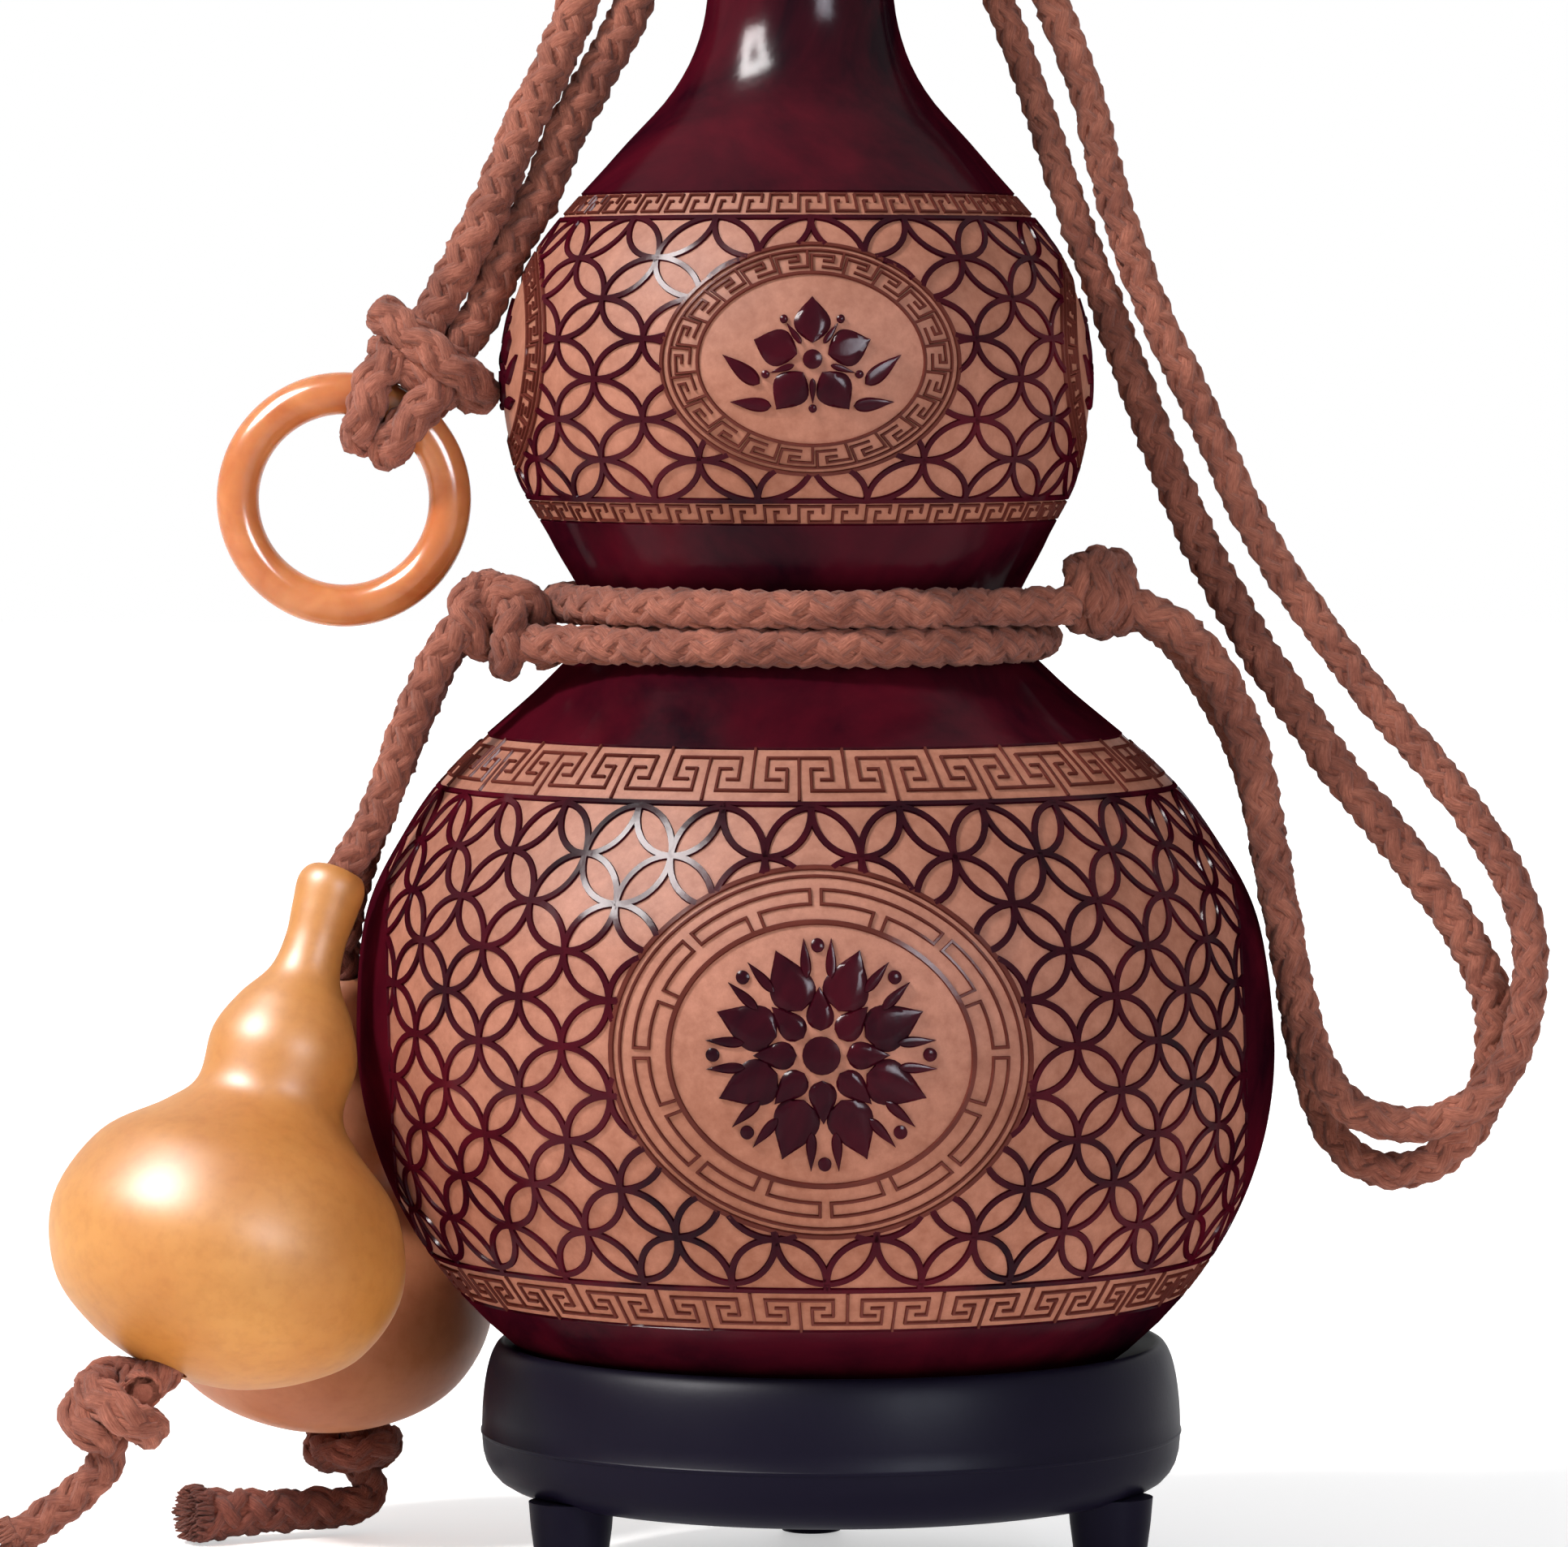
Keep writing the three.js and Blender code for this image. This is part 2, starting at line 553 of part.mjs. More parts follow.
function stopperCap() {
  const bottom = PLUG_TOP + SEAT_GAP;
  const socket = SPIGOT_RADIUS + SEAT_GAP;
  const ceiling = PLUG_TOP + SPIGOT_LENGTH + SEAT_GAP;
  const outline = [
    [0, ceiling],
    [socket, ceiling],
    [socket, bottom],
    [CAP_RADIUS - CAP_EDGE * 0.75, bottom],
    ...arcOutline([CAP_RADIUS - CAP_EDGE, bottom + CAP_FLANGE / 2], [CAP_EDGE, CAP_FLANGE / 2],
      -60, 80, 5),
    [CAP_RADIUS - CAP_SHOULDER, bottom + CAP_FLANGE + CAP_EDGE / 2],
    [CAP_NECK_RADIUS + 1, bottom + CAP_FLANGE + CAP_EDGE * 2],
    [CAP_NECK_RADIUS, bottom + CAP_NECK_RISE],
    ...arcOutline([0, bottom + KNOB_RISE], [KNOB_RADIUS, KNOB_HALF_HEIGHT], -38, 68, 8),
    [FINIAL_RADIUS * 1.15, bottom + KNOB_RISE + KNOB_HALF_HEIGHT + FINIAL_RADIUS / 6],
    [FINIAL_RADIUS, bottom + FINIAL_RISE - FINIAL_RADIUS * 0.4],
    [FINIAL_RADIUS * 0.6, bottom + FINIAL_RISE - FINIAL_RADIUS * 0.1],
    [0, bottom + FINIAL_RISE],
  ];
  return mesh("stopper_cap", turned(outline, TURNED_SEGMENTS), DARK_WOOD);
}

function stopper() {
  const group = new THREE.Group();
  group.add(stopperPlug(), stopperCap());
  SEAL_HEIGHTS.forEach((height, i) => {
    group.add(stopperSeal(height, i === 0 ? "upper_seal" : "lower_seal"));
  });
  group.position.x = LEAN_AT_NECK;
  return group;
}

// The winding: from the pendant knot across the front, round the back one pitch higher,
// across the front again and out to the strap knot. Each end leaves the waist on a tangent.
const WOUND_HIGH = WOUND_LOW + WOUND_PITCH;
const WOUND_RADIUS = Math.max(clearOfGourd(WOUND_LOW), clearOfGourd(WOUND_HIGH));
const SIDE_KNOT_REACH = WOUND_RADIUS + WOUND_DIAMETER / 2 + SLIP_GAP + KNOT_RADIUS;
const WOUND_LEAVE = THREE.MathUtils.radToDeg(Math.acos(WOUND_RADIUS / SIDE_KNOT_REACH));
const LEFT_KNOT_ANGLE = 180 + SIDE_KNOT_TURN;
const RIGHT_KNOT_ANGLE = 360 - SIDE_KNOT_TURN;

// Least turn radius at which a round cord at a height clears the gourd all round
function clearOfGourd(height) {
  const reach = WOUND_DIAMETER / 2 + SLIP_GAP;
  let least = 0;
  for (let rise = -reach; rise <= reach; rise += reach / 20) {
    least = Math.max(least, outsideRadius(height + rise) + Math.sqrt(reach ** 2 - rise ** 2));
  }
  return least;
}

function onWaist(angle, radius, height) {
  return [
    leanAt(WAIST_HEIGHT) + radius * Math.cos(radians(angle)),
    radius * Math.sin(radians(angle)),
    height,
  ];
}

function woundPoints() {
  const from = LEFT_KNOT_ANGLE + WOUND_LEAVE;
  const to = 360 + RIGHT_KNOT_ANGLE - WOUND_LEAVE;
  const whole = WOUND_RADIUS * Math.tan(radians(WOUND_LEAVE)) - SLIP_GAP;
  const steps = Math.round(((to - from) / 360) * WOUND_STEPS_A_TURN);
  const points = [];
  for (let i = 0; i <= steps; i += 1) {
    const angle = from + ((to - from) * i) / steps;
    const climb = THREE.MathUtils.smoothstep(angle, RIGHT_KNOT_ANGLE - 30, 540 + SIDE_KNOT_TURN);
    points.push(onWaist(angle, WOUND_RADIUS, WOUND_LOW + WOUND_PITCH * climb));
  }
  const runOut = (angle, straight, height) => [1, 2, 3].map((third) => {
    const [x, y] = onWaist(angle, WOUND_RADIUS, height);
    const reach = (straight * third) / 3;
    return [x - Math.sin(radians(angle)) * reach, y + Math.cos(radians(angle)) * reach, height];
  });
  const start = runOut(from, KNOT_SIDE_REACH - whole, WOUND_LOW);
  const end = runOut(to, whole - KNOT_CORNER_REACH, WOUND_HIGH);
  return [...start.reverse(), ...points, ...end];
}

// Least clear distance between two stretches of the winding that aren't neighbours
function leastGap(points, diameter) {
  let least = Infinity;
  const apart = WOUND_STEPS_A_TURN / 2;
  for (let i = 0; i < points.length; i += 1) {
    for (let j = i + apart; j < points.length; j += 1) {
      least = Math.min(least, vector(points[i]).distanceTo(vector(points[j])) - diameter);
    }
  }
  return least;
}

function waistCord() {
  const points = woundPoints();
  console.log(`waist cord: least gap to itself ${leastGap(points, WOUND_DIAMETER).toFixed(2)} mm`);
  const tube = cordAlong(points, WOUND_DIAMETER, WOUND_SIDES, points.length - 1);
  return mesh("waist_cord", tube, COTTON);
}

// A tied knot as it looks from a step away: two or three turns of cord side by side
function knotShape(length, radius, turns) {
  const half = length / turns / 2;
  const outline = [[0, -length / 2]];
  for (let i = 0; i < turns; i += 1) {
    const middle = -length / 2 + half * (2 * i + 1);
    const core = radius * KNOT_CORE_SHARE;
    const full = radius * (1 - KNOT_TAPER * Math.abs((2 * i + 1) / turns - 1));
    outline.push(...arcOutline([core, middle], [full - core, half], -75, 75, 3));
  }
  outline.push([0, length / 2]);
  return turned(outline, KNOT_SEGMENTS);
}

function sideKnots() {
  const high = onWaist(RIGHT_KNOT_ANGLE, SIDE_KNOT_REACH, WOUND_HIGH + STRAP_KNOT_RISE);
  const low = onWaist(LEFT_KNOT_ANGLE, SIDE_KNOT_REACH, WOUND_LOW + PENDANT_KNOT_RISE);
  return [
    mesh("strap_knot", aimed(knotShape(KNOT_LENGTH, KNOT_RADIUS, 3), [1, 0, 0], high), COTTON),
    mesh("pendant_knot", aimed(knotShape(PENDANT_KNOT_LENGTH, KNOT_RADIUS, 2), [0, 0, 1], low),
      COTTON),
  ];
}

// The strap's two strands
function behindNeck({ radius, height }) {
  return NECK_ANGLES.map((angle) => [
    LEAN_AT_NECK + radius * Math.cos(radians(angle)),
    radius * Math.sin(radians(angle)),
    height - NECK_SAG * Math.abs(Math.cos(radians(angle))),
  ]);
}

function strap() {
  const outer = [...STRAP_OUTER, ...behindNeck(OUTER_BEHIND_NECK), ...OUTER_LEFT];
  const inner = [...STRAP_INNER, ...behindNeck(INNER_BEHIND_NECK), ...INNER_LEFT];
  return [
    mesh("strap_outer_cord", cordAlong(outer), COTTON),
    mesh("strap_inner_cord", cordAlong(inner), COTTON),
  ];
}

// The ring, in the XZ plane, and the knot whose two loops hold it
function ring() {
  const shape = new THREE.TorusGeometry(RING_RADIUS, RING_THICKNESS / 2, 8, RING_SEGMENTS);
  const part = mesh("ring", closed(shape), AMBER_RESIN);
  part.rotation.x = Math.PI / 2;
  part.position.set(...RING_CENTRE);
  return part;
}

function ringKnot() {
  const ball = new THREE.SphereGeometry(1, 14, 8);
  ball.scale(...RING_KNOT_HALVES);
  ball.translate(...RING_KNOT_CENTRE);
  let body = solid(ball);
  const loopRadius = RING_THICKNESS / 2 + RING_CLEARANCE + CORD_DIAMETER / 2;
  [-1, 1].forEach((side) => {
    const angle = radians(RING_KNOT_ANGLE + side * RING_KNOT_SPREAD);
    const loop = new THREE.TorusGeometry(loopRadius, CORD_DIAMETER / 2, 6, 16);
    const along = [-Math.sin(angle), 0, Math.cos(angle)];
    const place = [
      RING_CENTRE[0] + RING_RADIUS * Math.cos(angle),
      RING_CENTRE[1],
      RING_CENTRE[2] + RING_RADIUS * Math.sin(angle),
    ];
    body = body.add(solid(aimed(loop, along, place)));
  });
  const opened = RING_THICKNESS / 2 + RING_CLEARANCE;
  const passage = new THREE.TorusGeometry(RING_RADIUS, opened, 8, RING_SEGMENTS * 2);
  passage.rotateX(Math.PI / 2).translate(...RING_CENTRE);
  return mesh("ring_knot", closed(fromSolid(body.subtract(solid(passage)))), COTTON);
}

// Small hollow gourd from its tip at the origin down -Z to its foot
const HOLE_RADIUS = CORD_DIAMETER / 2 + CORD_HOLE_GAP;

function smallGourd(length) {
  const outside = smoothOutline(
    SMALL_SHARES.map(([radius, share]) => [radius, -length * share]),
    SMALL_DIVISIONS,
  );
  const inside = SMALL_SHARES
    .filter(([radius, share]) => share > SMALL_CAVITY_START && radius > SMALL_WALL)
    .map(([radius, share]) => [radius - SMALL_WALL, -length * share + SMALL_WALL * (share - 0.5)]);
  const top = [0, inside[0][1] + SMALL_WALL];
  const bottom = [0, -length + SMALL_WALL];
  return solid(turned(outside, SMALL_SEGMENTS))
    .subtract(solid(turned([top, ...inside, bottom], SMALL_SEGMENTS)));
}

// A pendant: its cord turns about a rounded end at the knot, goes into the small gourd's tip and
// out beside its foot, and is held by the end knot, below which its tail hangs
function pendant(spec) {
  const tip = vector(spec.tip);
  const foot = vector(spec.foot);
  const exit = vector(spec.exit);
  const down = foot.clone().sub(tip).normalize();
  const out = exit.clone().sub(vector(spec.bend[spec.bend.length - 1])).normalize();
  const knotAxis = vector(spec.knotAxis).normalize();
  const beyond = exit.clone().addScaledVector(out, spec.lead);
  const corner = (CORD_DIAMETER / 2) * Math.sin(out.angleTo(knotAxis));
  const knotReach = spec.knotLength / 2 + SLIP_GAP + corner;
  const knotCentre = beyond.clone().addScaledVector(knotAxis, knotReach);

  const inNeck = [0.06, 0.14, 0.35].map((share) => tip.clone().lerp(foot, share).toArray());
  const route = [spec.pivot, ...spec.route, ...inNeck, ...spec.bend, exit.toArray(),
    beyond.toArray()];
  const cord = solid(cordAlong(route, CORD_DIAMETER, CORD_SIDES, PENDANT_STEPS));
  const hole = solid(cordAlong(route, HOLE_RADIUS * 2, HOLE_SIDES, PENDANT_STEPS));
  const end = new THREE.SphereGeometry(CORD_DIAMETER / 2, 10, 8).translate(...spec.pivot);
  const turn = new THREE.Quaternion();
  turn.setFromUnitVectors(new THREE.Vector3(0, 0, -1), down);
  const place = new THREE.Matrix4().compose(tip, turn, new THREE.Vector3(1, 1, 1));
  const gourd = smallGourd(tip.distanceTo(foot)).transform(place.elements).subtract(hole);
  const knot = aimed(knotShape(spec.knotLength, spec.knotRadius, 2), knotAxis.toArray(),
    knotCentre.toArray());
  const tail = cordAlong(spec.tail, spec.tailDiameter, CORD_SIDES, TAIL_STEPS);

  return [
    mesh(`${spec.name}_pendant_cord`, closed(fromSolid(cord.add(solid(end)))), COTTON),
    mesh(`${spec.name}_small_gourd`, closed(fromSolid(gourd)), GOURD_SKIN),
    mesh(`${spec.name}_end_knot`, knot, COTTON),
    mesh(`${spec.name}_tail`, tail, COTTON),
  ];
}

const group = new THREE.Group();
group.add(stand(), gourdShell(), mouthCollar(), stopper(), waistCord(), ...sideKnots(), ...strap());
group.add(ring(), ringKnot());
PENDANTS.forEach((spec) => group.add(...pendant(spec)));

export default group;
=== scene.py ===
import math

import bmesh
import bpy
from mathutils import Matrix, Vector, noise


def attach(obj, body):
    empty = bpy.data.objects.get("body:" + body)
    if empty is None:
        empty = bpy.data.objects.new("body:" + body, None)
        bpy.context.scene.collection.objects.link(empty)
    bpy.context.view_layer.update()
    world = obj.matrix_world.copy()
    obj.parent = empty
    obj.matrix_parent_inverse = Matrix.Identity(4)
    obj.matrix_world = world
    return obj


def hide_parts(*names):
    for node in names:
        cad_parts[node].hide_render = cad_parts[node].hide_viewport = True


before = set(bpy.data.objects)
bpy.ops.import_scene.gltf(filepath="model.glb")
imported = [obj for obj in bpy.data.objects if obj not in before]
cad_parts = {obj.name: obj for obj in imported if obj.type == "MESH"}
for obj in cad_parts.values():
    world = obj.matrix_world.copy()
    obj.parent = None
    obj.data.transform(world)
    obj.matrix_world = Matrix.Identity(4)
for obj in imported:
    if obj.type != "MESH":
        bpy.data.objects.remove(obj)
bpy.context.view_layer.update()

# Camera and studio
# The bottle stands on a white table, seen from the front, a little below its neck. A lamp high
# on its left and a cooler one to the right of the camera light it. At the place of each is a
# wider one that only shows in reflections.

SKY_LIGHT = 0.36
LEFT_LAMP = (-0.72, -0.42, 0.95)
RIGHT_LAMP = (0.6, -1.05, 0.5)
COOL = (0.84, 0.9, 1)


def placed(name, data):
    made = bpy.data.objects.new(name, data)
    bpy.context.collection.objects.link(made)
    return made


camera_data = bpy.data.cameras.new("camera")
camera_data.sensor_fit = "HORIZONTAL"
camera_data.sensor_width = 36
camera_data.lens = 190.7
camera_data.clip_start = 0.01
camera = placed("camera", camera_data)
camera.location = (-0.0044, -1.16, 0.1726)
camera.rotation_euler = (math.radians(90 - 2.96), 0, 0)
bpy.context.scene.camera = camera
bpy.context.scene.view_settings.view_transform = "Standard"


def node(tree, kind, *sources, **values):
    """A new node with the given values, its first sockets fed by the sources."""
    made = tree.nodes.new("ShaderNode" + kind)
    for key, value in values.items():
        if key in made.inputs:
            made.inputs[key].default_value = value
        else:
            setattr(made, key, value)
    for socket, source in zip(made.inputs, sources):
        tree.links.new(source, socket)
    return made


def new_material(name, colour, roughness, **sockets):
    """A material, its node tree and its texture coordinates. The shader's other sockets are
    named with _ for a space."""
    material = bpy.data.materials.new(name)
    material.use_nodes = True
    tree = material.node_tree
    shader = tree.nodes["Principled BSDF"]
    shader.inputs["Base Color"].default_value = (*colour, 1)
    shader.inputs["Roughness"].default_value = roughness
    for socket, value in sockets.items():
        shader.inputs[socket.replace("_", " ")].default_value = value
    return material, tree, node(tree, "TexCoord").outputs


def ranged(tree, source, low, high, first, last):
    """The source mapped from low and high to first and last."""
    made = node(tree, "MapRange", source)
    for socket, value in zip(made.inputs[1:5], (low, high, first, last)):
        socket.default_value = value
    return made.outputs["Result"]


def seen_directly(tree):
    """1 for camera, glossy and transmission rays, 0 for all others."""
    ray = node(tree, "LightPath").outputs
    seen = ray["Is Camera Ray"]
    for kind in ("Is Glossy Ray", "Is Transmission Ray"):
        seen = node(tree, "Math", seen, ray[kind], operation="MAXIMUM").outputs[0]
    return seen


def pick(*pieces):
    """Selects only these pieces, the first of them active."""
    if bpy.context.object and bpy.context.object.mode == "EDIT":
        bpy.ops.object.mode_set(mode="OBJECT")
    bpy.ops.object.select_all(action="DESELECT")
    for piece in pieces:
        piece.select_set(True)
        bpy.context.view_layer.objects.active = pieces[0]


# The table glows a little for the rays that see it, more so far off, and keeps its shadows
table_white, tree, place = new_material("table_white", (0.93, 0.93, 0.93), 0.6)
glow = node(tree, "Emission")
distance = node(tree, "VectorMath", place["Object"], operation="LENGTH").outputs["Value"]
tree.links.new(ranged(tree, distance, 0.08, 0.9, 0.48, 0.8), glow.inputs["Strength"])
no_glow = node(tree, "Emission", Strength=0.0)
seen_glow = node(tree, "MixShader", seen_directly(tree), no_glow.outputs[0], glow.outputs[0])
whole = node(tree, "AddShader", tree.nodes["Principled BSDF"].outputs[0], seen_glow.outputs[0])
tree.links.new(whole.outputs[0], tree.nodes["Material Output"].inputs[0])

pick()
bpy.ops.mesh.primitive_plane_add(size=8, location=(0, 0, -0.0002))
table = bpy.context.object
table.name = "table"
table.data.materials.append(table_white)

world = bpy.data.worlds.new("studio")
world.use_nodes = True
bpy.context.scene.world = world
tree = world.node_tree
sky = tree.nodes["Background"]
sky.inputs["Color"].default_value = (1, 1, 1, 1)
sky.inputs["Strength"].default_value = SKY_LIGHT
backdrop = node(tree, "Background", Color=(1, 1, 1, 1), Strength=1.0)
whole = node(tree, "MixShader", seen_directly(tree), sky.outputs[0], backdrop.outputs[0])
tree.links.new(whole.outputs[0], tree.nodes["World Output"].inputs[0])

for name, spot, aim, width, height, power, colour, unseen_by in (
        ("high_lamp", LEFT_LAMP, 0.12, 0.17, 0.17, 10.5, (1, 0.97, 0.94), "glossy"),
        ("front_lamp", RIGHT_LAMP, 0.13, 0.13, 0.2, 2.2, COOL, None),
        ("high_glint", LEFT_LAMP, 0.12, 0.5, 0.5, 115, (1, 0.98, 0.97), "diffuse"),
        ("front_glint", RIGHT_LAMP, 0.12, 0.42, 0.42, 26, COOL, "diffuse")):
    data = bpy.data.lights.new(name, "AREA")
    data.shape = "RECTANGLE"
    data.size = width
    data.size_y = height
    data.energy = power
    data.color = colour
    lamp = placed(name, data)
    lamp.location = spot
    lamp.rotation_euler = (Vector((0, 0, aim)) - Vector(spot)).to_track_quat("-Z", "Y").to_euler()
    if unseen_by == "glossy":
        lamp.visible_glossy = False
    if unseen_by == "diffuse":
        lamp.visible_diffuse = False

# Cotton cord
# One kind of cord makes the strap, the pendants and the winding: eight soft cotton yarns
# plaited round a core, 5.2 mm across. A knot is the same cord, pulled tight on itself.

CORD = 0.0052
CORE_SHARE = 0.405
CORE_SIDES = 14
YARNS = 8
YARN_SIDES = 6
YARN_TURN = 0.021
YARN_WIDE = 0.0013
YARN_THICK = 0.00066
YARN_SWAY = 0.00028
YARN_SLACK = 0.00022
FRAY_SPREAD = 0.35
TUFT_SPREAD = 1.42
STRAYS = 150
STRAY_ROOT = 0.0014
STRAY_LENGTH = 0.0031
STRAY_REACH = 0.0042
STRAY_RADII = (0.0005, 0.00042, 0.0003, 0.00012)
GOLDEN_TURN = 2.39996
CURVE_PARTS = 24
ROUTE_STEP = 0.0009
KNOT_STEP = 0.0008


def eased(start, end, leave, arrive, share):
    """Place on the cubic that leaves the start and arrives at the end with the given speeds."""
    square, cube = share ** 2, share ** 3
    return (start * (2 * cube - 3 * square + 1) + leave * (cube - 2 * square + share)
            + end * (3 * square - 2 * cube) + arrive * (cube - square))


def smooth_route(points, step=ROUTE_STEP):
    """Points a step apart on a centripetal curve through the given ones."""
    ends = [points[0] * 2 - points[1], *points, points[-1] * 2 - points[-2]]
    fine = []
    for before, start, end, after in zip(ends, ends[1:], ends[2:], ends[3:]):
        first = math.sqrt((start - before).length)
        second = math.sqrt((end - start).length)
        third = math.sqrt((after - end).length)
        leave = (start - before) / first - (end - before) / (first + second)
        leave = (leave + (end - start) / second) * second
        arrive = (end - start) / second - (after - start) / (second + third)
        arrive = (arrive + (after - end) / third) * second
        fine += [eased(start, end, leave, arrive, i / CURVE_PARTS) for i in range(CURVE_PARTS)]
    fine.append(points[-1].copy())
    length = route_length(fine)
    count = max(2, round(length / step))
    even = [fine[0].copy()]
    walked, reached = 0.0, length / count
    for a, b in zip(fine, fine[1:]):
        stretch = (b - a).length
        while stretch > 0 and walked + stretch >= reached - 1e-9 and len(even) < count:
            even.append(a.lerp(b, (reached - walked) / stretch))
            reached = length * len(even) / count
        walked += stretch
    even.append(fine[-1].copy())
    return even


def route_length(route):
    return sum((b - a).length for a, b in zip(route, route[1:]))


def cord_frames(route):
    """Side and up at each point, turning as little as the route allows, and along."""
    alongs = [(ahead - behind).normalized()
              for behind, ahead in zip([route[0], *route], [*route[1:], route[-1]])]
    side = alongs[0].orthogonal().normalized()
    frames = []
    for along in alongs:
        side = (side - along * side.dot(along)).normalized()
        frames.append((side, along.cross(side), along))
    return frames


def around(axes, turn):
    return axes[0] * math.cos(turn) + axes[1] * math.sin(turn)


def round_shape(axes, sides, radius):
    return [around(axes, k * math.tau / sides) * radius for k in range(sides)]


def tube_into(mesh, centres, shapes, along_uv, around_uv, uv):
    """Adds a tube with closed ends; the shapes are the offsets of each ring's corners."""
    rings = [[mesh.verts.new(centre + offset) for offset in shape]
             for centre, shape in zip(centres, shapes)]
    sides = len(rings[0])
    for i, (first, second) in enumerate(zip(rings, rings[1:])):
        for k in range(sides):
            after = (k + 1) % sides
            face = mesh.faces.new((first[k], first[after], second[after], second[k]))
            face.smooth = True
            spots = ((i, k), (i, k + 1), (i + 1, k + 1), (i + 1, k))
            for loop, (row, column) in zip(face.loops, spots):
                loop[uv].uv = (row * along_uv, around_uv + column / sides)
    mesh.faces.new(rings[0][::-1])
    mesh.faces.new(rings[-1])


def piece_from(mesh, name, material):
    """The finished mesh as an object of its own, its faces turned outward."""
    data = bpy.data.meshes.new(name)
    bmesh.ops.recalc_face_normals(mesh, faces=mesh.faces)
    mesh.to_mesh(data)
    mesh.free()
    data.materials.append(material)
    return placed(name, data)


def plait(name, route, diameter=CORD, frayed=0.0, girth=((0, 1), (1, 1))):
    """The plaited cord along a route of even steps, its last stretch frayed, its girth given
    as (share of the length, factor) pairs."""
    scale = diameter / CORD
    last = len(route) - 1
    step = route_length(route) / last
    frames = cord_frames(route)
    mesh = bmesh.new()
    uv = mesh.loops.layers.uv.new("cord")
    core = diameter * CORE_SHARE

    def open_at(i):
        return max(0.0, (step * i - step * last + frayed) / frayed) if frayed else 0.0

    def full(i):
        share = i / last
        for (low, first), (high, second) in zip(girth, girth[1:]):
            if share <= high:
                return first + (second - first) * (share - low) / (high - low)
        return girth[-1][1]

    def spread(i):
        return (1 + FRAY_SPREAD * open_at(i) ** 1.5) * full(i)

    core_shapes = []
    for i, point in enumerate(route):
        core_shapes.append([out * (1 + 0.05 * noise.noise((point + out) * 1300)) * spread(i)
                            for out in round_shape(frames[i], CORE_SIDES, core)])
    tube_into(mesh, route, core_shapes, step * 200, 0.0, uv)
    middle = diameter / 2 - (YARN_THICK + YARN_SWAY * 0.6) * scale
    for yarn in range(YARNS):
        way = 1 if yarn % 2 == 0 else -1
        start = yarn // 2 * math.tau / 4 + (math.tau / 8 if way < 0 else 0)
        centres, shapes = [], []
        for i, point in enumerate(route):
            laid = math.tau * step * i / (YARN_TURN * scale)
            out = around(frames[i], start + way * laid)
            across = around(frames[i], start + way * laid + math.tau / 4)
            sway = way * math.cos(4 * laid + math.pi / 2)
            loose = noise.noise(Vector((step * i * 160, yarn * 7.1, len(route) * 0.13)))
            reach = (middle + (YARN_SWAY * sway + YARN_SLACK * loose) * scale) * spread(i)
            wide = YARN_WIDE * scale * (1 + 0.12 * loose) * full(i)
            thick = YARN_THICK * scale * (1 + 0.25 * open_at(i)) * full(i)
            centres.append(point + out * reach)
            shapes.append([])
            for turn in (k * math.tau / YARN_SIDES for k in range(YARN_SIDES)):
                tuft = across * math.cos(turn) * wide + out * math.sin(turn) * thick
                tuft *= 1 + 0.3 * noise.noise((centres[-1] + tuft) * 1500)
                shapes[-1].append(tuft)
        tube_into(mesh, centres, shapes, step * 200, yarn, uv)
    for i in range(STRAYS if frayed else 0):
        share = math.sqrt((i + 0.5) / STRAYS) * full(last)
        along, out = frames[-1][2], around(frames[-1], i * GOLDEN_TURN)
        wander = Vector([noise.noise(Vector((i * 3.7, k * 5.3, 1.9))) for k in range(3)])
        stray = []
        for t in (0, 0.4, 0.75, 1):
            lean = along * (1 + 0.6 * wander.x) + (out * 0.5 * share + wander * 0.6) * t
            away = out * core * TUFT_SPREAD * share - along * STRAY_ROOT + lean * STRAY_LENGTH * t
            stray.append(route[-1] + away * min(1, STRAY_REACH / away.length))
            stray[-1].z = max(stray[-1].z, 0.0006)
        tube_into(mesh, stray, [round_shape(frames[-1], 4, radius) for radius in STRAY_RADII],
                  0.5, i, uv)
    piece = piece_from(mesh, name, cotton)
    return piece


# Colours mottled by noise, for all materials but the table's: dark up to the noise's low value
# and light from its high one. The noise itself comes out as the height.
mottle = bpy.data.node_groups.new("mottle", "ShaderNodeTree")
NOISE_SOCKETS = ("Vector", "Scale", "Detail", "Roughness", "Distortion")
for name in (*NOISE_SOCKETS, "Low", "High", "Dark", "Light"):
    kind = {"Vector": "Vector", "Dark": "Color", "Light": "Color"}.get(name, "Float")
    mottle.interface.new_socket(name, in_out="INPUT", socket_type="NodeSocket" + kind)
mottle.interface.new_socket("Color", in_out="OUTPUT", socket_type="NodeSocketColor")
mottle.interface.new_socket("Height", in_out="OUTPUT", socket_type="NodeSocketFloat")
given = mottle.nodes.new("NodeGroupInput").outputs
result = mottle.nodes.new("NodeGroupOutput").inputs
clouds = node(mottle, "TexNoise")
share = node(mottle, "MapRange", clouds.outputs["Fac"], given["Low"], given["High"])
tone = node(mottle, "Mix", share.outputs["Result"], data_type="RGBA")
for source, socket in (
        *((given[name], clouds.inputs[name]) for name in NOISE_SOCKETS),
        (given["Dark"], tone.inputs[6]), (given["Light"], tone.inputs[7]),
        (tone.outputs[2], result["Color"]), (clouds.outputs["Fac"], result["Height"])):
    mottle.links.new(source, socket)


def mottled(tree, place, low, dark, high, light, **values):
    return node(tree, "Group", place, node_tree=mottle, Low=low, High=high, Dark=(*dark, 1),
                Light=(*light, 1), **values)


def rough_height(tree, place, scale, detail, roughness=0.5):
    """The same group's height alone."""
    return node(tree, "Group", place, node_tree=mottle, Scale=scale, Detail=detail,
                Roughness=roughness).outputs["Height"]


